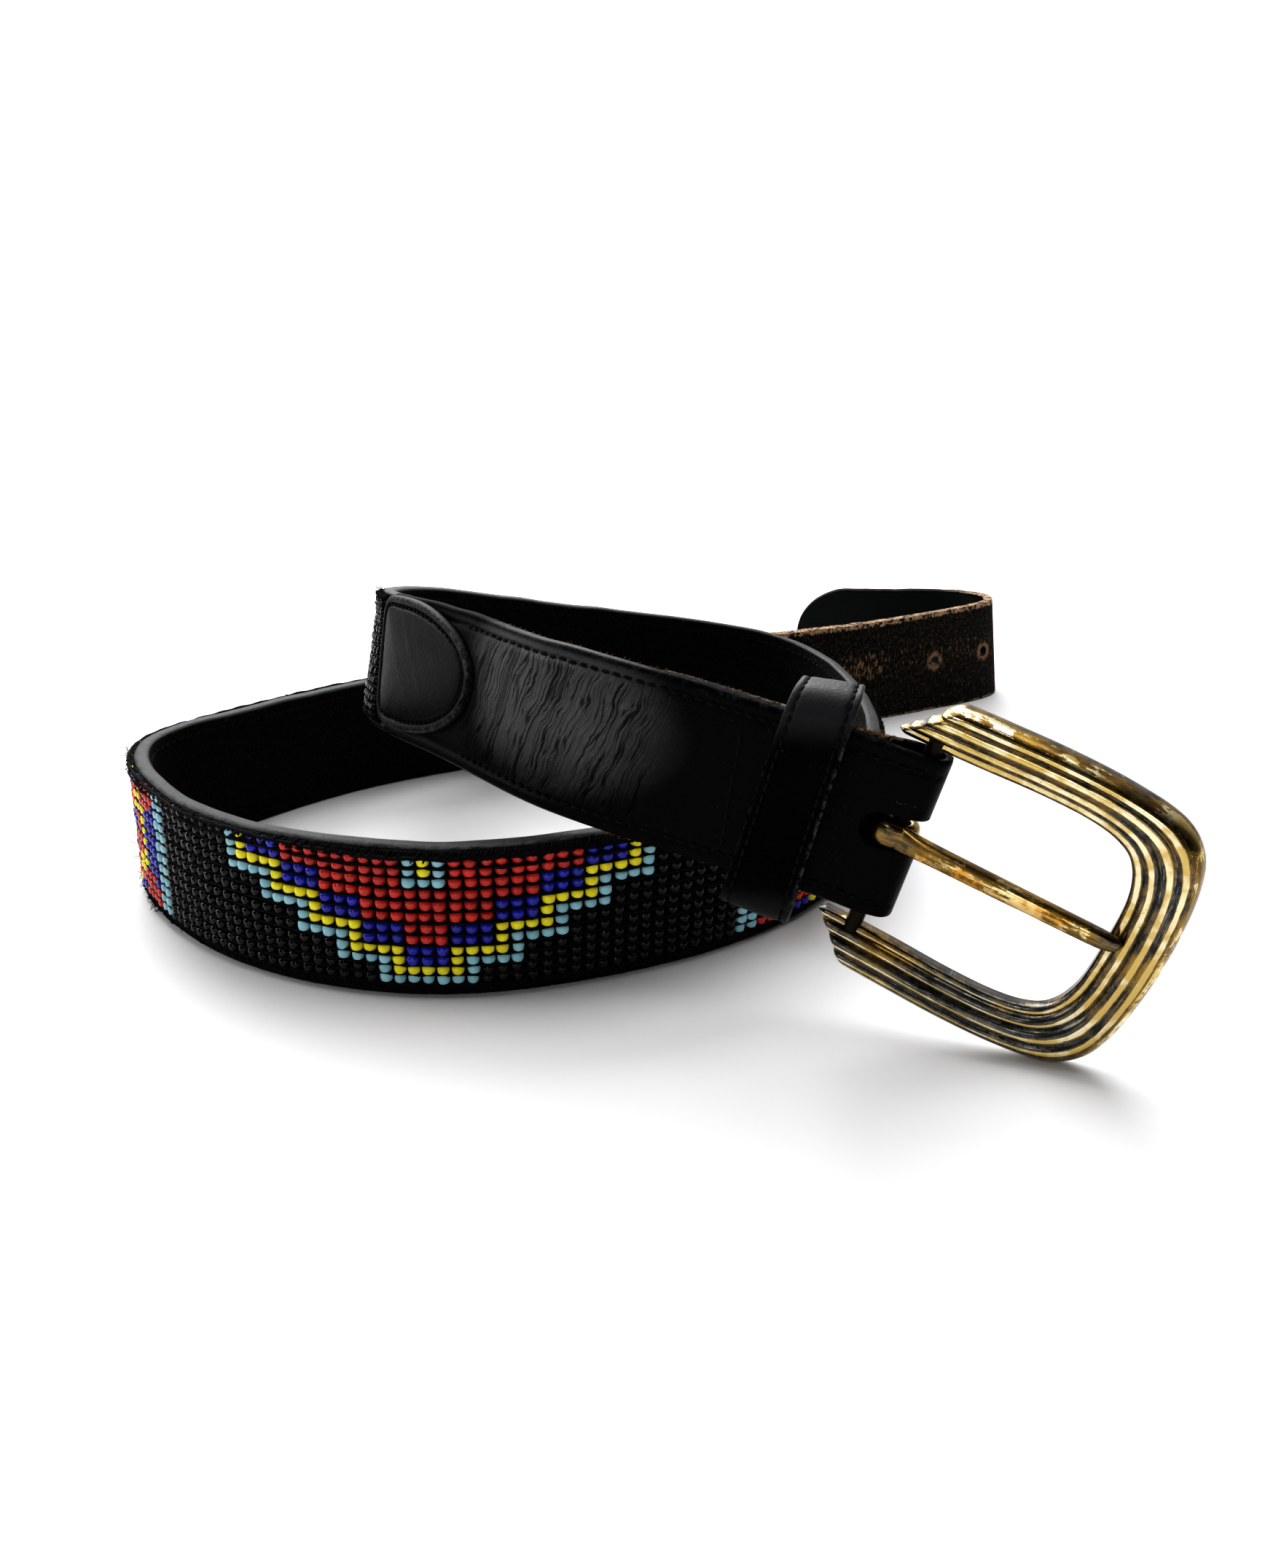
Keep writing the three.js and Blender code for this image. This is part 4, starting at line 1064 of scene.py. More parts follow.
# whipped border along both sides of the beads
lines = []
for h_lip, h_bead, up, reach in ((34.2, 32.3, 1.0, 1.15), (1.75, 3.5, -1.0, 0.8)):
    at = PANEL_FROM + 0.6
    while at < PANEL_TO - 1.5:
        ds = RNG.uniform(0.7, 2.0)
        a = (at, 1.75, h_lip + RNG.normal(0, 0.14))
        lift_ = float(row_lift(at)) * 0.8 if up > 0 else 0.0
        b = (at + ds, 2.35, h_bead + lift_ + RNG.normal(0, 0.42))
        x = np.linspace(0, 1, 5)
        sv = a[0] + (b[0] - a[0]) * x
        hv = a[2] + (b[2] - a[2]) * x
        nv = a[1] + (b[1] - a[1]) * x + (reach + RNG.uniform(-0.25, 0.3)) * np.sin(math.pi * x)
        lines.append((place(sv, nv, hv, floor=0.1), RNG.uniform(0.18, 0.30)))
        at += RNG.uniform(0.50, 0.85)
    for k in range(3):
        h_k = (h_lip * (2.4 - k) + h_bead * (k + 0.6)) / 3
        lines.append((place(q, 1.95 + 0.35 * k * reach + 0.2 * noise1(q, 120 + k, 2.2), h_k + 0.16 * noise1(q, 130 + k, 1.9), floor=0.1), 0.36))
ob = tubes("border_threads", lines, 0.26, 4, 0.4)
ob.data.materials.append(warp)
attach(ob, "belt")

# ------------------------------------------------------------------ end tab
TAB = dict(start=103.0, straight=140.0, end=153.0, middle=21.0, up=13.8, down=18.4, inner=2.42)


def tab_root(s):
    x = np.clip((TAB["straight"] - s) / (TAB["straight"] - TAB["start"] + 0.05), 0, 1)
    y = np.clip((s - TAB["straight"]) / (TAB["end"] - TAB["straight"] + 0.02), 0, 1)
    return np.sqrt(np.clip(1 - x ** 2, 0, 1)) * np.clip(1 - y ** 5, 0, 1) ** 0.2


def tab_solid():
    """A polar grid over the D outline, thick at the middle, with a sewn border."""
    cs, ch = 131.0, 18.5
    angles = np.linspace(0, 2 * math.pi, 241)[:-1]
    # the outline, found along each ray from the centre
    outline = []
    for a in angles:
        ds, dh = math.cos(a), math.sin(a)
        lo, hi = 0.0, 60.0
        for _ in range(40):
            mid = (lo + hi) / 2
            s, h = cs + ds * mid, ch + dh * mid
            reach = TAB["up"] if h > TAB["middle"] else TAB["down"]
            inside = TAB["start"] < s < TAB["end"] and abs(h - TAB["middle"]) < reach * float(tab_root(s))
            lo, hi = (mid, hi) if inside else (lo, mid)
        outline.append(lo)
    outline = np.array(outline)
    ring_at = [0, 0.10, 0.25, 0.48, 0.8, 1.2, 1.6, 1.95, 2.25, 2.5, 2.75, 3.0, 3.3, 3.6]
    rows_s, rows_h, rows_n, rub = [], [], [], []
    base = TAB["inner"]
    # slope of the outline against the ray turns distance along the ray into distance from the edge
    dr = (np.roll(outline, -1) - np.roll(outline, 1)) / (angles[1] - angles[0]) / 2
    cosine = np.maximum(outline / np.sqrt(outline ** 2 + dr ** 2), 0.62)
    for d in ring_at:
        r = outline - d / cosine
        edge = math.sqrt(max(0.0, 1 - (1 - min(1, d / 0.6)) ** 2))
        rise = base + 0.10 + 1.15 * edge + 0.22 * math.exp(-((d - 1.2) / 0.7) ** 2)
        groove = 0.72 * math.exp(-((d - 2.5) / 0.5) ** 2)
        rows_s.append(cs + np.cos(angles) * r)
        rows_h.append(ch + np.sin(angles) * r)
        rows_n.append(np.full_like(angles, rise - groove + 0.25 * float(step(d, 2.6, 3.6))))
        rub.append(np.full_like(angles, 0.8 * math.exp(-((d - 0.6) / 0.45) ** 2)))
    last = outline - ring_at[-1] / cosine
    height = base + 1.25 + 0.25
    for f in np.linspace(1, 0, 17)[1:-1]:
        rows_s.append(cs + np.cos(angles) * last * f)
        rows_h.append(ch + np.sin(angles) * last * f)
        rows_n.append(np.full_like(angles, height + 1.05 * (1 - f ** 3.2)))
        rub.append(np.zeros_like(angles))
    S, H, N, R = map(np.array, (rows_s, rows_h, rows_n, rub))
    N = N + 0.07 * noise1(S * 0.7 + H, 71, 4.0) + 0.05 * noise1(S - H * 0.8, 72, 2.5)
    m = len(angles)
    top = place(S, N, H)
    count = len(top)
    verts = top.reshape(-1, 3)
    i = np.arange(m)
    j = (i + 1) % m
    faces = []
    for k in range(count - 1):
        for a, b in zip(i, j):
            faces.append((k * m + a, k * m + b, (k + 1) * m + b, (k + 1) * m + a))
    middle = place(np.array([cs]), np.array([height + 1.05]), np.array([ch]))
    under = place(S[0], np.full(m, base), H[0])
    verts = np.concatenate([verts, middle, under])
    mid_i = count * m
    faces += [((count - 1) * m + a, (count - 1) * m + b, mid_i) for a, b in zip(i, j)]
    u0 = mid_i + 1
    faces += [(u0 + a, u0 + b, b, a) for a, b in zip(i, j)]
    faces.append(tuple(u0 + a for a in range(m - 1, -1, -1)))
    ob = new_mesh("end_tab_pad", verts, faces)
    # outward faces
    import bmesh
    bm = bmesh.new()
    bm.from_mesh(ob.data)
    bmesh.ops.recalc_face_normals(bm, faces=bm.faces)
    bm.to_mesh(ob.data)
    bm.free()
    attribute(ob, "rub", np.concatenate([R.ravel(), [0.0], np.full(m, 0.3)]))
    seam_r = outline - 2.5 / cosine
    sv, hv = cs + np.cos(angles) * seam_r, ch + np.sin(angles) * seam_r
    return ob, (np.append(sv, sv[0]), np.append(hv, hv[0]))


tab, seam_line = tab_solid()
tab.data.materials.append(leather_soft("tab_leather", 0.48, level=0.060))
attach(tab, "belt")
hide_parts("end_tab")

sv, hv = seam_line
lines = seam_on_strap((sv, hv, np.full_like(sv, TAB["inner"] + 0.80)), 2.35, 0.60, 0.5)
ob = tubes("tab_stitches", lines, 0.30, 6, 0.5)
ob.data.materials.append(stitch_thread)
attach(ob, "belt")

# ------------------------------------------------------------------ keeper
KEEPER = dict(start=15.1, end=27.5, lean=(0.07, 0.138), low=(-6.0, -5.0), high=(43.4, 41.8), inner=-4.35, outer=8.4, wall=1.9, round=4.6)


def rounded(inner, outer, low, high, r, m):
    pts_ = []
    for cx, cy, a0 in ((outer - r, low + r, -90), (outer - r, high - r, 0), (inner + r, high - r, 90), (inner + r, low + r, 180)):
        pts_ += arc_points(cx, cy, r, a0, a0 + 90, m)
    return np.array(pts_)


def keeper_place(x, n, h):
    """x across the keeper from its side towards the bar; the loop is taller there, and its top is narrower and nearer the bar."""
    k = KEEPER
    share = x / (k["end"] - k["start"])
    low, high = lerp(k["low"][0], k["low"][1], share), lerp(k["high"][0], k["high"][1], share)
    h2 = low + (np.asarray(h) - k["low"][1]) / (k["high"][1] - k["low"][1]) * (high - low)
    return place(k["start"] + x - lerp(k["lean"][0], k["lean"][1], share) * (h2 - 17.5), n, h2, floor=-9)


def keeper_solid():
    k = KEEPER
    w = k["wall"]
    low, high = k["low"][1], k["high"][1]
    outer_ring = rounded(k["inner"], k["outer"], low, high, k["round"], 9)
    inner_ring = rounded(k["inner"] + w, k["outer"] - w, low + w, high - w, k["round"] - w, 9)

    def resample(ring, m):
        closed = np.vstack([ring, ring[:1]])
        d = np.concatenate([[0], np.cumsum(np.linalg.norm(np.diff(closed, axis=0), axis=1))])
        x = np.linspace(0, d[-1], m, endpoint=False)
        return np.stack([np.interp(x, d, closed[:, i]) for i in (0, 1)], 1)
    m = 160
    o, i_ = resample(outer_ring, m), resample(inner_ring, m)
    # across the keeper's width: rounded corners of the wall, and a sewn groove near each side
    wide = k["end"] - k["start"]
    across = [(0.0, 0.55), (0.05, 0.34), (0.16, 0.16), (0.36, 0.04), (0.6, 0.0), (0.9, 0.02), (1.12, 0.09), (1.32, 0.24), (1.52, 0.32),
              (1.72, 0.24), (1.95, 0.09), (2.3, 0.0), (3.0, -0.03), (4.4, -0.04)]
    full = across + [(wide / 2, -0.05)] + [(wide - x, d) for x, d in reversed(across)]
    centre_n, centre_h = (k["inner"] + k["outer"]) / 2, (low + high) / 2
    normals = np.roll(o, -1, 0) - np.roll(o, 1, 0)
    normals = np.stack([normals[:, 1], -normals[:, 0]], 1)
    normals /= np.linalg.norm(normals, axis=1, keepdims=True)
    # the front is a little hollow between the bends
    hollow = 0.30 * np.exp(-((o[:, 1] - 17.5) / 9.0) ** 2) * (o[:, 0] > 6)
    rings = []
    for x, depth in full:
        sec = o - normals * (depth + hollow[:, None] * 1.0 + 0.05 * noise1(np.arange(m)[:, None] + 0 * normals[:, :1] + x * 3, 75, 5.0))
        rings.append(keeper_place(x, sec[:, 0], sec[:, 1]))
    for x in (wide - 0.02, wide - 0.3, wide / 2, 0.3, 0.02):
        rings.append(keeper_place(x, i_[:, 0], i_[:, 1]))
    ob = loft("keeper_loop", np.array(rings), closed_path=True)
    import bmesh
    bm = bmesh.new()
    bm.from_mesh(ob.data)
    bmesh.ops.recalc_face_normals(bm, faces=bm.faces)
    bm.to_mesh(ob.data)
    bm.free()
    rub = []
    for x, depth in full:
        rub.append(np.full(m, math.exp(-((x - 0.15) / 0.30) ** 2) * 0.9 + 0.3 * math.exp(-((wide - x) / 0.3) ** 2)))
    rub += [np.full(m, 0.5)] * 5
    attribute(ob, "rub", np.concatenate(rub))
    lines_ = []
    for x in (1.52, wide - 1.52):
        closed = np.vstack([o, o[:1]])
        d = np.concatenate([[0], np.cumsum(np.linalg.norm(np.diff(closed, axis=0), axis=1))])
        at = 0.5
        while at + 2.3 < d[-1]:
            a2, mid, b2 = [[np.interp(at + e, d, closed[:, i]) for i in (0, 1)] for e in (0.0, 0.9, 1.8)]
            a3 = keeper_place(x, a2[0], a2[1])
            b3 = keeper_place(x + RNG.normal(0, 0.06), b2[0], b2[1])
            m3 = keeper_place(x, mid[0], mid[1])
            c3 = keeper_place(x, centre_n, centre_h)
            ax = frame_s(np.array([k["start"] + x]))[1][0]
            lift = unit(np.cross(unit(b3 - a3), ax))
            if lift @ (m3 - c3) < 0:
                lift = -lift
            lines_.append((stitch(a3 - lift * 0.22, b3 - lift * 0.22, lift, 0.20), None))
            at += 2.35
    st = tubes("keeper_stitches", lines_, 0.27, 6, 0.5)
    st.data.materials.append(stitch_thread)
    return ob, st


keeper, ob = keeper_solid()
keeper.data.materials.append(leather_soft("keeper_leather", 0.50, (0.0006, 0.0006, 0.0007), (0.0016, 0.0016, 0.0018), 0.13, True))
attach(keeper, "belt")
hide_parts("keeper")
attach(ob, "belt")

# ------------------------------------------------------------------ buckle
# Half of the frame's outline: a and b of the inner and of the outer edge, from a tip to the middle of the far side
OUTLINE = np.array([
    [-7.4, 19.9, -7.4, 29.0], [0, 19.9, 0, 29.4], [8, 20.0, 8, 29.6], [20, 20.4, 20, 29.8], [28.8, 20.1, 29.3, 29.5],
    [34.0, 19.1, 35.4, 28.9], [37.4, 17.4, 39.8, 28.2], [39.2, 15.2, 43.6, 27.0], [40.4, 12.4, 46.7, 24.9],
    [41.1, 9.4, 49.1, 21.7], [41.4, 6.3, 50.7, 16.8], [41.5, 3.2, 51.7, 10.0], [41.5, 0, 52.2, 0]])
whole = np.vstack([OUTLINE, OUTLINE[-2::-1] * [1, -1, 1, -1]])


def centripetal(points):
    """Catmull-Rom through points, by row index from 0 to len - 1."""
    P = np.asarray(points, float)
    P = np.vstack([2 * P[0] - P[1], P, 2 * P[-1] - P[-2]])

    def at(x):
        x = float(min(max(x, 0.0), len(P) - 3 - 1e-9))
        i = int(x)
        p0, p1, p2, p3 = P[i:i + 4]
        d = [max(1e-6, np.linalg.norm(b - a) ** 0.5) for a, b in ((p0, p1), (p1, p2), (p2, p3))]
        t1 = (p1 - p0) / d[0] - (p2 - p0) / (d[0] + d[1]) + (p2 - p1) / d[1]
        t2 = (p2 - p1) / d[1] - (p3 - p1) / (d[1] + d[2]) + (p3 - p2) / d[2]
        t1, t2 = t1 * d[1], t2 * d[1]
        w = x - i
        return p1 * (2 * w ** 3 - 3 * w ** 2 + 1) + t1 * (w ** 3 - 2 * w ** 2 + w) + p2 * (-2 * w ** 3 + 3 * w ** 2) + t2 * (w ** 3 - w ** 2)
    return at


inner_at, outer_at = centripetal(whole[:, :2]), centripetal(whole[:, 2:])
ROWS_B = len(whole) - 1


def in_frame(a, b, c):
    return BAR + np.multiply.outer(a, BAR_A) + np.multiply.outer(b, BAR_B) + np.multiply.outer(c, BAR_C)


# Ridges: where each ends beside the bar, from v and to v across the frame, crest height, height of its outer foot, and back
RIDGES = [
    dict(end=-7.2, v0=0.00, v1=0.21, foot=0.1, crest=0.95, drop=0.3, peak=0.10),
    dict(end=-5.2, v0=0.15, v1=0.45, foot=0.55, crest=2.1, drop=1.3, peak=0.29),
    dict(end=-2.8, v0=0.385, v1=0.70, foot=1.3, crest=2.95, drop=2.1, peak=0.535),
    dict(end=-0.6, v0=0.645, v1=1.0, foot=1.6, crest=3.1, drop=-1.2, peak=0.76),
]
BACK = -2.2


def ridge_section(r):
    """Rows of v, c, anticlockwise seen against the direction of travel."""
    v0, v1, pk = r["v0"], r["v1"], r["peak"]
    up = [(v0 + (pk - v0) * (1 - math.cos(x)) , r["foot"] + (r["crest"] - r["foot"]) * math.sin(x)) for x in np.linspace(0, math.pi / 2, 8)]
    down = [(pk + (v1 - pk) * math.sin(x), r["drop"] + (r["crest"] - r["drop"]) * math.cos(x)) for x in np.linspace(0, math.pi / 2, 10)][1:]
    low = [(v1 - 0.02 * (v1 - v0), BACK + 0.25), (v1 - 0.10 * (v1 - v0), BACK), (v0 + 0.1 * (v1 - v0), BACK), (v0, BACK + 0.2)]
    rows = up + down + low                      # clockwise in (v, c)
    return np.array(rows[::-1])


def ridge_mesh(r):
    sec = ridge_section(r)
    xs = np.linspace(0, ROWS_B, 24 * 5 + 1)
    nose = [(L, max(0.30, math.sqrt(1 - (1 - L / 1.7) ** 2))) for L in (0.0, 0.05, 0.14, 0.30, 0.50, 0.75, 1.05, 1.4, 1.7)]
    pv = (r["v0"] + r["v1"]) / 2
    rings = []

    def ring(i, o, grow, d):
        v = pv + (sec[:, 0] - pv) * grow
        cmid = -0.4
        c = cmid + (sec[:, 1] - cmid) * grow
        ab = i + (o - i) * v[:, None]
        # the end slants: a ridge starts later on its outer side, and earlier on the side of the ridge before it
        slant = np.where(v > pv, 9.0, 9.0 if r["v0"] > 0 else 0.0) * (v - pv) * (1 - float(step(d, 1.0, 6.0)))
        return in_frame(ab[:, 0] + slant, ab[:, 1], c)

    def tip(a):
        b_out = np.interp(a, [-7.4, 0], [29.0, 29.4])
        return np.array([a, 19.9]), np.array([a, b_out])
    for d, grow in nose:
        rings.append(ring(*tip(r["end"] + d), grow, d))
    for x in xs:
        i, o = inner_at(x), outer_at(x)
        if i[0] > r["end"] + 2.6 or 6 < x < ROWS_B - 6:
            rings.append(ring(i, o, 1.0, i[0] - r["end"]))
    for d, grow in reversed(nose):
        i, o = tip(r["end"] + d)
        rings.append(ring(i * [1, -1], o * [1, -1], grow, d))
    return loft("ridge", np.array(rings))


def recalc(ob):
    import bmesh
    bm = bmesh.new()
    bm.from_mesh(ob.data)
    bmesh.ops.recalc_face_normals(bm, faces=bm.faces)
    bm.to_mesh(ob.data)
    bm.free()
    return ob


buckle = recalc(ridge_mesh(RIDGES[0]))
buckle.name = buckle.data.name = "buckle_ridges"
for r in RIDGES[1:]:
    cut(buckle, recalc(ridge_mesh(r)), "UNION")
bar_ring = arc_points(0, 0, 1.6, 0, 345, 24)
rod = shape_cutter("rod", bar_ring, (BAR_A, BAR_C, np.cross(BAR_A, BAR_C)), BAR, -21.5, 21.5)
cut(buckle, recalc(rod), "UNION")
co = points_of(buckle) - BAR
abc = np.stack([co @ BAR_A, co @ BAR_B, co @ BAR_C], 1)
xs = np.linspace(0, ROWS_B, 481)
mids = np.array([(inner_at(x) + outer_at(x)) / 2 for x in xs])
alongs = np.concatenate([[0], np.cumsum(np.linalg.norm(np.diff(mids, axis=0), axis=1))])
ins, outs = np.array([inner_at(x) for x in xs]), np.array([outer_at(x) for x in xs])
# nearest station by distance from the line between its inner and outer points
best = np.full(len(abc), 1e9)
pick = np.zeros(len(abc), int)
vv = np.zeros(len(abc))
for k in range(len(xs)):
    d = outs[k] - ins[k]
    q = abc[:, :2] - ins[k]
    v = np.clip((q @ d) / (d @ d), -0.05, 1.05)
    e = np.linalg.norm(q - v[:, None] * d, axis=1)
    better = e < best
    best[better], pick[better], vv[better] = e[better], k, v[better]
attribute(buckle, "buckle", np.stack([alongs[pick], vv, abc[:, 2]], 1))
crest = np.zeros(len(abc))
for r in RIDGES:
    inside = (vv > r["v0"] - 0.01) & (vv < r["v1"] + 0.01)
    up_ = np.clip((abc[:, 2] - max(r["foot"], r["drop"])) / (r["crest"] - max(r["foot"], r["drop"])), 0, 1)
    crest = np.where(inside, np.maximum(crest, up_ ** 0.9), crest)
outer_flank = (vv > 0.84) & (abc[:, 2] < 2.9)
crest = np.where(outer_flank, 0.18 + 0.34 * np.clip((abc[:, 2] - 0.2) / 2.7, 0, 1), crest)
crest = crest * 0.86 - 0.10
# the inner wall and the underside stay dull, and the bar is painted near black as painted shade where it goes into the
# fold
crest = np.where((vv < 0.015) & (abc[:, 2] < 0.4), 0.05, crest)
crest = np.where(abc[:, 2] < -1.5, -0.1, crest)
on_rod = (np.abs(abc[:, 1]) < 19.6) & (np.abs(abc[:, 0]) < 2.2)
crest[on_rod] = -0.9
attribute(buckle, "crest", crest)
buckle.data.materials.clear()
buckle.data.materials.append(worn_gold("buckle_gold"))
# the bar: near black, a painted shade where it goes into the strap's fold
bar_painted_shade = Graph("bar_painted_shade")
bar_painted_shade.set(Base_Color=(0.014, 0.011, 0.008), Metallic=1.0, Roughness=0.42)
buckle.data.materials.append(bar_painted_shade.mat)
middle_of = np.array([abc[list(f.vertices)].mean(0) for f in buckle.data.polygons])
rod_face = (np.abs(middle_of[:, 1]) < 20.2) & (np.hypot(middle_of[:, 0], middle_of[:, 2]) < 1.75)
buckle.data.polygons.foreach_set("material_index", rod_face.astype(np.int32))
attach(buckle, "buckle")
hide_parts("buckle_frame")

# ------------------------------------------------------------------ prong
# distance from the bar, height, half width along the bar, half thickness
SHANK = np.array([
    [-1.6, 2.75, 1.6, 0.35], [-0.9, 2.8, 2.2, 0.55], [1.2, 2.9, 2.5, 0.85], [4, 3.05, 2.35, 1.25], [8, 3.1, 2.15, 1.5],
    [16, 3.15, 2.05, 1.6], [26, 3.15, 1.95, 1.6], [36, 3.1, 1.85, 1.6], [40.5, 3.0, 1.75, 1.55], [42.6, 2.85, 1.4, 1.25],
    [43.6, 2.75, 0.8, 0.7], [43.9, 2.7, 0.35, 0.3]])
sides = 24
ang = np.arange(sides) / sides * 2 * math.pi
# refine between the rows
rows_x = np.concatenate([np.linspace(k, k + 1, 5)[:-1] for k in range(len(SHANK) - 1)] + [[len(SHANK) - 1]])
cols = [natural(SHANK[:, k]) for k in range(4)]
fine_ = np.stack([c(rows_x) for c in cols], 1)
fine_[:, 2:] = np.maximum(fine_[:, 2:], 0.2)
rings = []
for a, c, hb, hc in fine_:
    # a soft rectangle, flatter on top than an ellipse
    ca, sa = np.cos(ang), np.sin(ang)
    e = 2 / 2.5
    x = np.sign(ca) * np.abs(ca) ** e * hb
    y = np.sign(sa) * np.abs(sa) ** e * hc
    rings.append(in_frame(np.full(sides, a), 1.9 + x, c + y))
prong = recalc(loft("prong_pin", np.array(rings)))
half = 2.5
prof = [(1.92, -half + 0.5), (2.05, -half + 0.12), (2.4, -half), (3.2, -half + 0.08), (3.75, -half + 0.45), (4.03, -half + 1.2),
        (4.1, -0.6), (4.1, 0.6), (4.03, half - 1.2), (3.75, half - 0.45), (3.2, half - 0.08), (2.4, half), (2.05, half - 0.12), (1.92, half - 0.5)]
m = 56
band = []
for q in np.linspace(0, 2 * math.pi, m, endpoint=False):
    knuckle = 0.30 * max(0.0, math.cos(q - math.radians(146))) ** 2
    band.append(np.array([in_frame(r2 * math.cos(q), 1.9 + b * (1 + 0.5 * knuckle), r2 * math.sin(q))
                          for r2, b in [(r + knuckle * max(0.0, r - 2.2) * 2.1, b) for r, b in prof]]))
loop = recalc(loft("loop", np.array(band), closed_path=True))
cut(prong, loop, "UNION")
co = points_of(prong) - BAR
abc = np.stack([co @ BAR_A, co @ BAR_B, co @ BAR_C], 1)
attribute(prong, "buckle", np.stack([abc[:, 0], (abc[:, 1] - 1.9) / 6.0, abc[:, 2]], 1))
topness = step(abc[:, 2], 2.6, 4.4) * step(abc[:, 0], 2.5, 8) * (1 - step(abc[:, 0], 37, 42))
attribute(prong, "crest", 0.26 + 0.26 * topness - 0.10 * (1 - step(abc[:, 0], 3, 7)) - 0.16 * step(abc[:, 0], 37, 41))
prong.data.materials.clear()
prong.data.materials.append(worn_gold("prong_gold", 37.0))
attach(prong, "prong")
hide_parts("prong")

# ------------------------------------------------------------------ loose threads and fibres
lines = []


def hair(start, direction, length, curl, m=7):
    x = np.linspace(0, 1, m)[:, None]
    d = unit(direction)
    side = unit(np.cross(d, RNG.normal(0, 1, 3)))
    other = np.cross(d, side)
    return (start + d * x * length + side * np.sin(x * RNG.uniform(2, 5)) * curl * length * 0.3
            + other * (x ** 2) * curl * length * RNG.uniform(-0.6, 0.6))


for s0, s1, h0, h1, many, long_ in ((636, 668, 31.5, 34.2, 80, 3.0), (640, 668, 0.8, 4.0, 34, 2.6), (645, 665, 8, 16, 9, 4.0),
                                    (156, 174, 32, 34.4, 40, 2.6), (156, 640, 32.4, 34.2, 260, 1.3), (200, 850, 32.4, 34.2, 120, 1.3),
                                    (440, 680, 1.6, 3.6, 160, 1.2)):
    for _ in range(many):
        s, h = RNG.uniform(s0, s1), RNG.uniform(h0, h1)
        _, t, w, n = [x[0] for x in frame_s(np.array([s]))]
        start = place(np.array([s]), np.array([2.2]), np.array([h]))[0]
        up_ = 0.8 if h > 20 else -0.3
        d = n * RNG.uniform(0.4, 1.0) + w * RNG.normal(up_ * 0.5, 0.5) + t * RNG.normal(0, 0.5)
        line = hair(start, d, long_ * RNG.uniform(0.4, 1.0), 0.9)
        line[:, 2] = np.maximum(line[:, 2], 0.15)
        lines.append((line, RNG.uniform(0.05, 0.10)))
ob = tubes("loose_threads", lines, 0.08, 3, 0.6)
ob.data.materials.append(warp)
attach(ob, "belt")

fibre = thread("tan_fibre", (0.10, 0.055, 0.028), (0.26, 0.16, 0.09), 0.9)
lines = []
for s0, s1, face, many, long_ in ((7, 14, "top", 60, 1.3), (29, 100, "top", 90, 0.8), (47, 58, "low", 30, 1.2), (870, 1040, "top", 80, 0.6),
                                  (0.3, 4.0, "slot", 26, 0.55)):
    for _ in range(many):
        s = RNG.uniform(s0, s1)
        lo, hi = [float(v) for v in edges(np.array(s))]
        inn, out_ = [float(v) for v in faces_at(np.array(s))]
        _, t, w, n = [x[0] for x in frame_s(np.array([s]))]
        nn = RNG.uniform(inn + 0.2, min(0.6, out_ - 0.4))
        if face == "top":
            start, d = place(s, nn, hi - 0.12), w * RNG.uniform(0.2, 0.8) + t * RNG.normal(0, 0.8) + n * RNG.normal(0, 0.4)
        elif face == "low":
            start, d = place(s, nn + 1.0, lo + 0.1), -w * RNG.uniform(0.2, 0.8) + t * RNG.normal(0, 0.8) + n * RNG.uniform(0.0, 0.6)
        else:
            side = RNG.choice([-1, 1])
            start, d = place(s, out_ - 0.1, 17.5 + SLOT_UP + side * (SLOT_HALF + 0.2)), w * side * RNG.uniform(0.1, 0.6) + t * RNG.normal(0, 0.7) + n * RNG.uniform(0.1, 0.4)
        line = hair(np.asarray(start), d, long_ * RNG.uniform(0.4, 1.0), 0.8, 7)
        line[:, 2] = np.maximum(line[:, 2], 0.1)
        lines.append((line, RNG.uniform(0.04, 0.08)))
ob = tubes("leather_fibres", lines, 0.06, 3, 0.6)
ob.data.materials.append(fibre)
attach(ob, "belt")

# ------------------------------------------------------------------ floor, light and surroundings
floor_me = bpy.data.meshes.new("floor")
R = 0.95
rim = [(R * math.cos(a), R * math.sin(a), 0.0) for a in np.linspace(0, 2 * math.pi, 129)[:-1]]
floor_me.from_pydata(rim, [], [tuple(range(len(rim)))])
floor = bpy.data.objects.new("floor", floor_me)
bpy.context.collection.objects.link(floor)
g = Graph("floor_cloth")
mm = g.scale(g.coords(), 1000.0)
soft = g.noise(mm, 0.012, 3, 0.5)
g.set(Base_Color=g.mix(soft, (0.74, 0.74, 0.75), (0.80, 0.80, 0.80)), Roughness=0.6,
      Normal=g.bump(g.noise(mm, 0.6, 3, 0.6), 0.15, 0.2))
floor_me.materials.append(g.mat)


def area(name, place_, target, size, power, size_y=None, colour=(1, 1, 1)):
    data = bpy.data.lights.new(name, "AREA")
    data.energy = power
    data.color = colour
    data.shape = "RECTANGLE"
    data.size, data.size_y = size, size_y or size
    ob = bpy.data.objects.new(name, data)
    bpy.context.collection.objects.link(ob)
    ob.location = place_
    ob.rotation_mode = "QUATERNION"
    ob.rotation_quaternion = (Vector(target) - Vector(place_)).to_track_quat("-Z", "Y")
    ob.visible_camera = False
    return ob


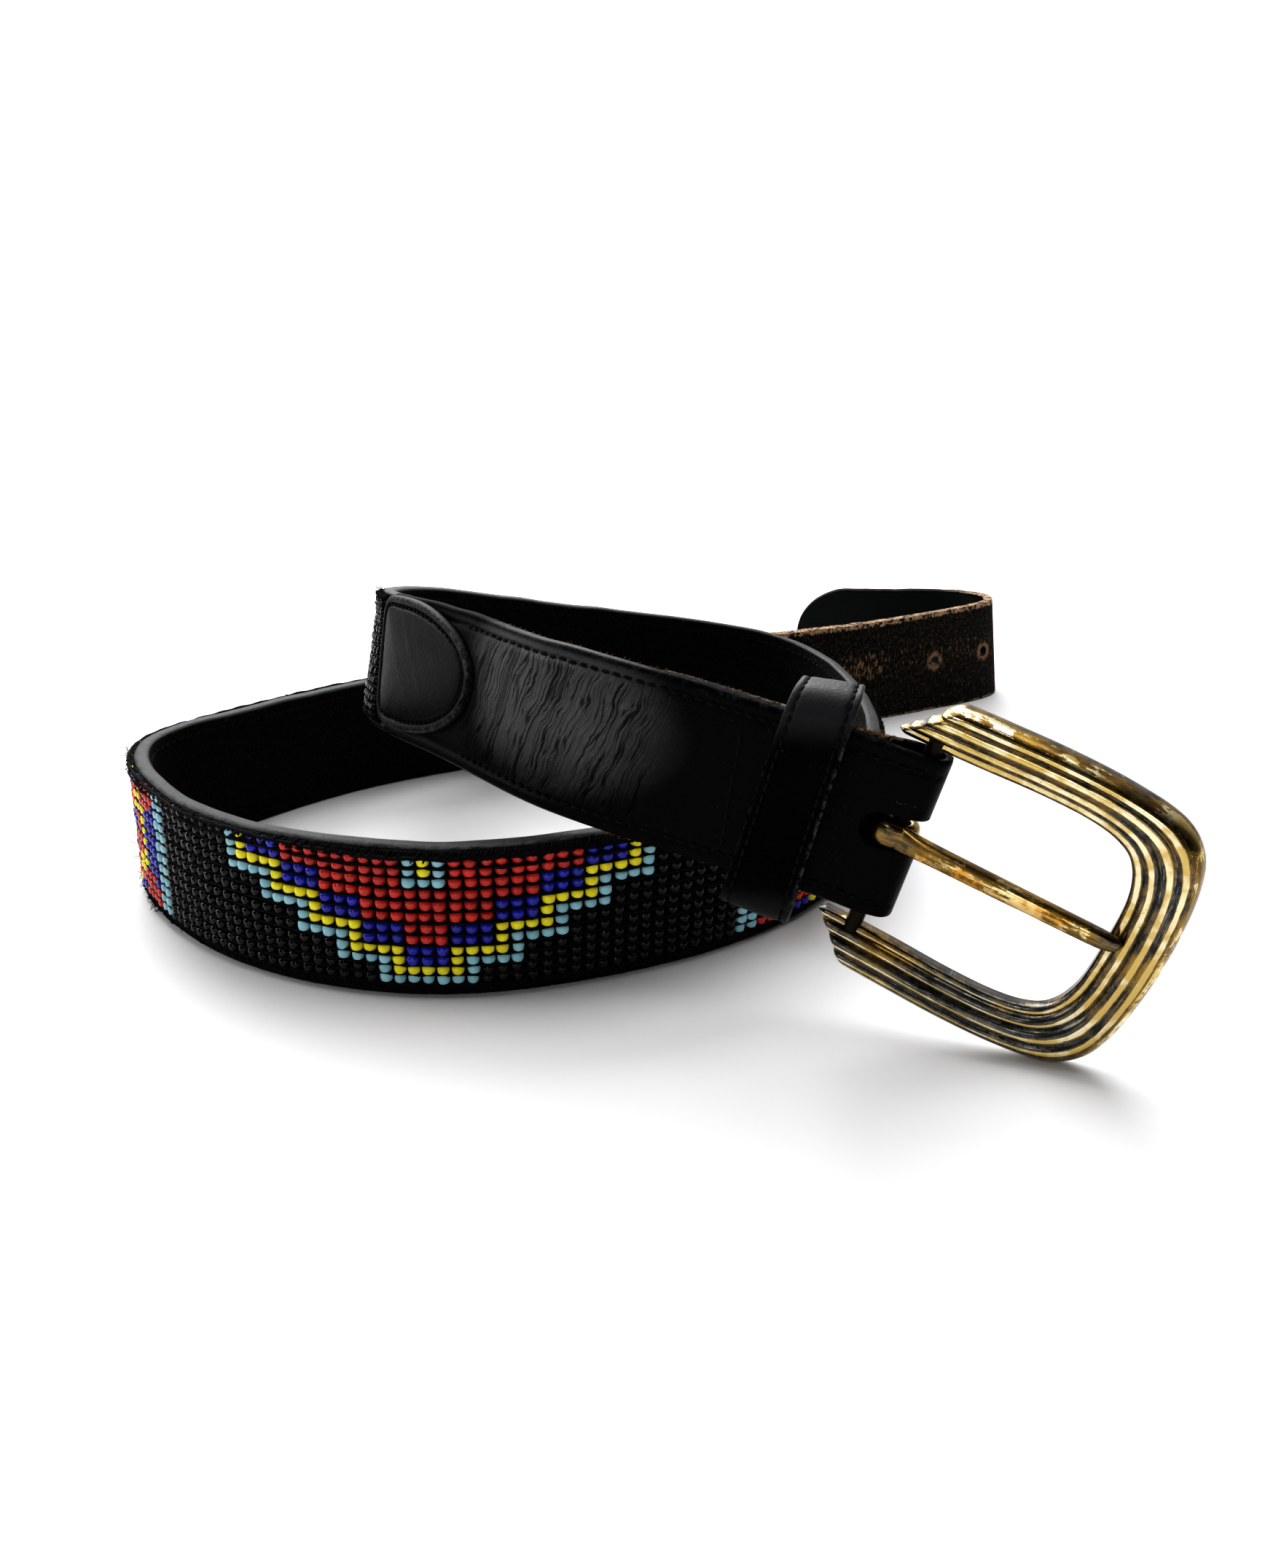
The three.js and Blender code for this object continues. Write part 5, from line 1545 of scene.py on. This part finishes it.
area("window_back", (-0.30, 1.25, 0.95), (0, 0.15, 0.0), 1.6, 30, 1.0)
area("overhead", (0.0, 0.25, 1.25), (0, 0.1, 0), 1.3, 13, 1.1)
area("left_soft", (-1.25, 0.15, 0.55), (-0.05, 0, 0.02), 0.7, 5, 0.6)
area("small_window", (-0.42, -1.00, 0.72), (-0.05, -0.05, 0.03), 0.09, 1.5, 0.13)
area("low_front", (-0.35, -1.55, 0.20), (-0.05, 0, 0.04), 0.9, 1.6, 0.30)

world = bpy.data.worlds.new("surroundings")
bpy.context.scene.world = world
world.use_nodes = True
nt = world.node_tree
nt.nodes.clear()
w_out = nt.nodes.new("ShaderNodeOutputWorld")
lit = nt.nodes.new("ShaderNodeBackground")
seen = nt.nodes.new("ShaderNodeBackground")
mixer = nt.nodes.new("ShaderNodeMixShader")
rays = nt.nodes.new("ShaderNodeLightPath")
tc = nt.nodes.new("ShaderNodeTexCoord")
sep = nt.nodes.new("ShaderNodeSeparateXYZ")
nt.links.new(tc.outputs["Generated"], sep.inputs[0])
mul_y = nt.nodes.new("ShaderNodeMath"); mul_y.operation = "MULTIPLY_ADD"
nt.links.new(sep.outputs["Y"], mul_y.inputs[0])
mul_y.inputs[1].default_value = 0.62
mul_y.inputs[2].default_value = 0.30
add_z = nt.nodes.new("ShaderNodeMath"); add_z.operation = "MULTIPLY_ADD"
nt.links.new(sep.outputs["Z"], add_z.inputs[0])
add_z.inputs[1].default_value = 0.34
nt.links.new(mul_y.outputs[0], add_z.inputs[2])
ramp = nt.nodes.new("ShaderNodeValToRGB")
ramp.color_ramp.elements[0].position, ramp.color_ramp.elements[0].color = 0.0, (0.004, 0.004, 0.004, 1)
ramp.color_ramp.elements[1].position, ramp.color_ramp.elements[1].color = 1.0, (1.0, 1.0, 1.0, 1)
e = ramp.color_ramp.elements.new(0.30)
e.color = (0.06, 0.06, 0.062, 1)
nt.links.new(add_z.outputs[0], ramp.inputs[0])
nt.links.new(ramp.outputs[0], lit.inputs["Color"])
lit.inputs["Strength"].default_value = 0.85
seen.inputs["Color"].default_value = (0.97, 0.975, 0.97, 1)
seen.inputs["Strength"].default_value = 1.0
nt.links.new(rays.outputs["Is Camera Ray"], mixer.inputs[0])
nt.links.new(lit.outputs[0], mixer.inputs[1])
nt.links.new(seen.outputs[0], mixer.inputs[2])
nt.links.new(mixer.outputs[0], w_out.inputs[0])
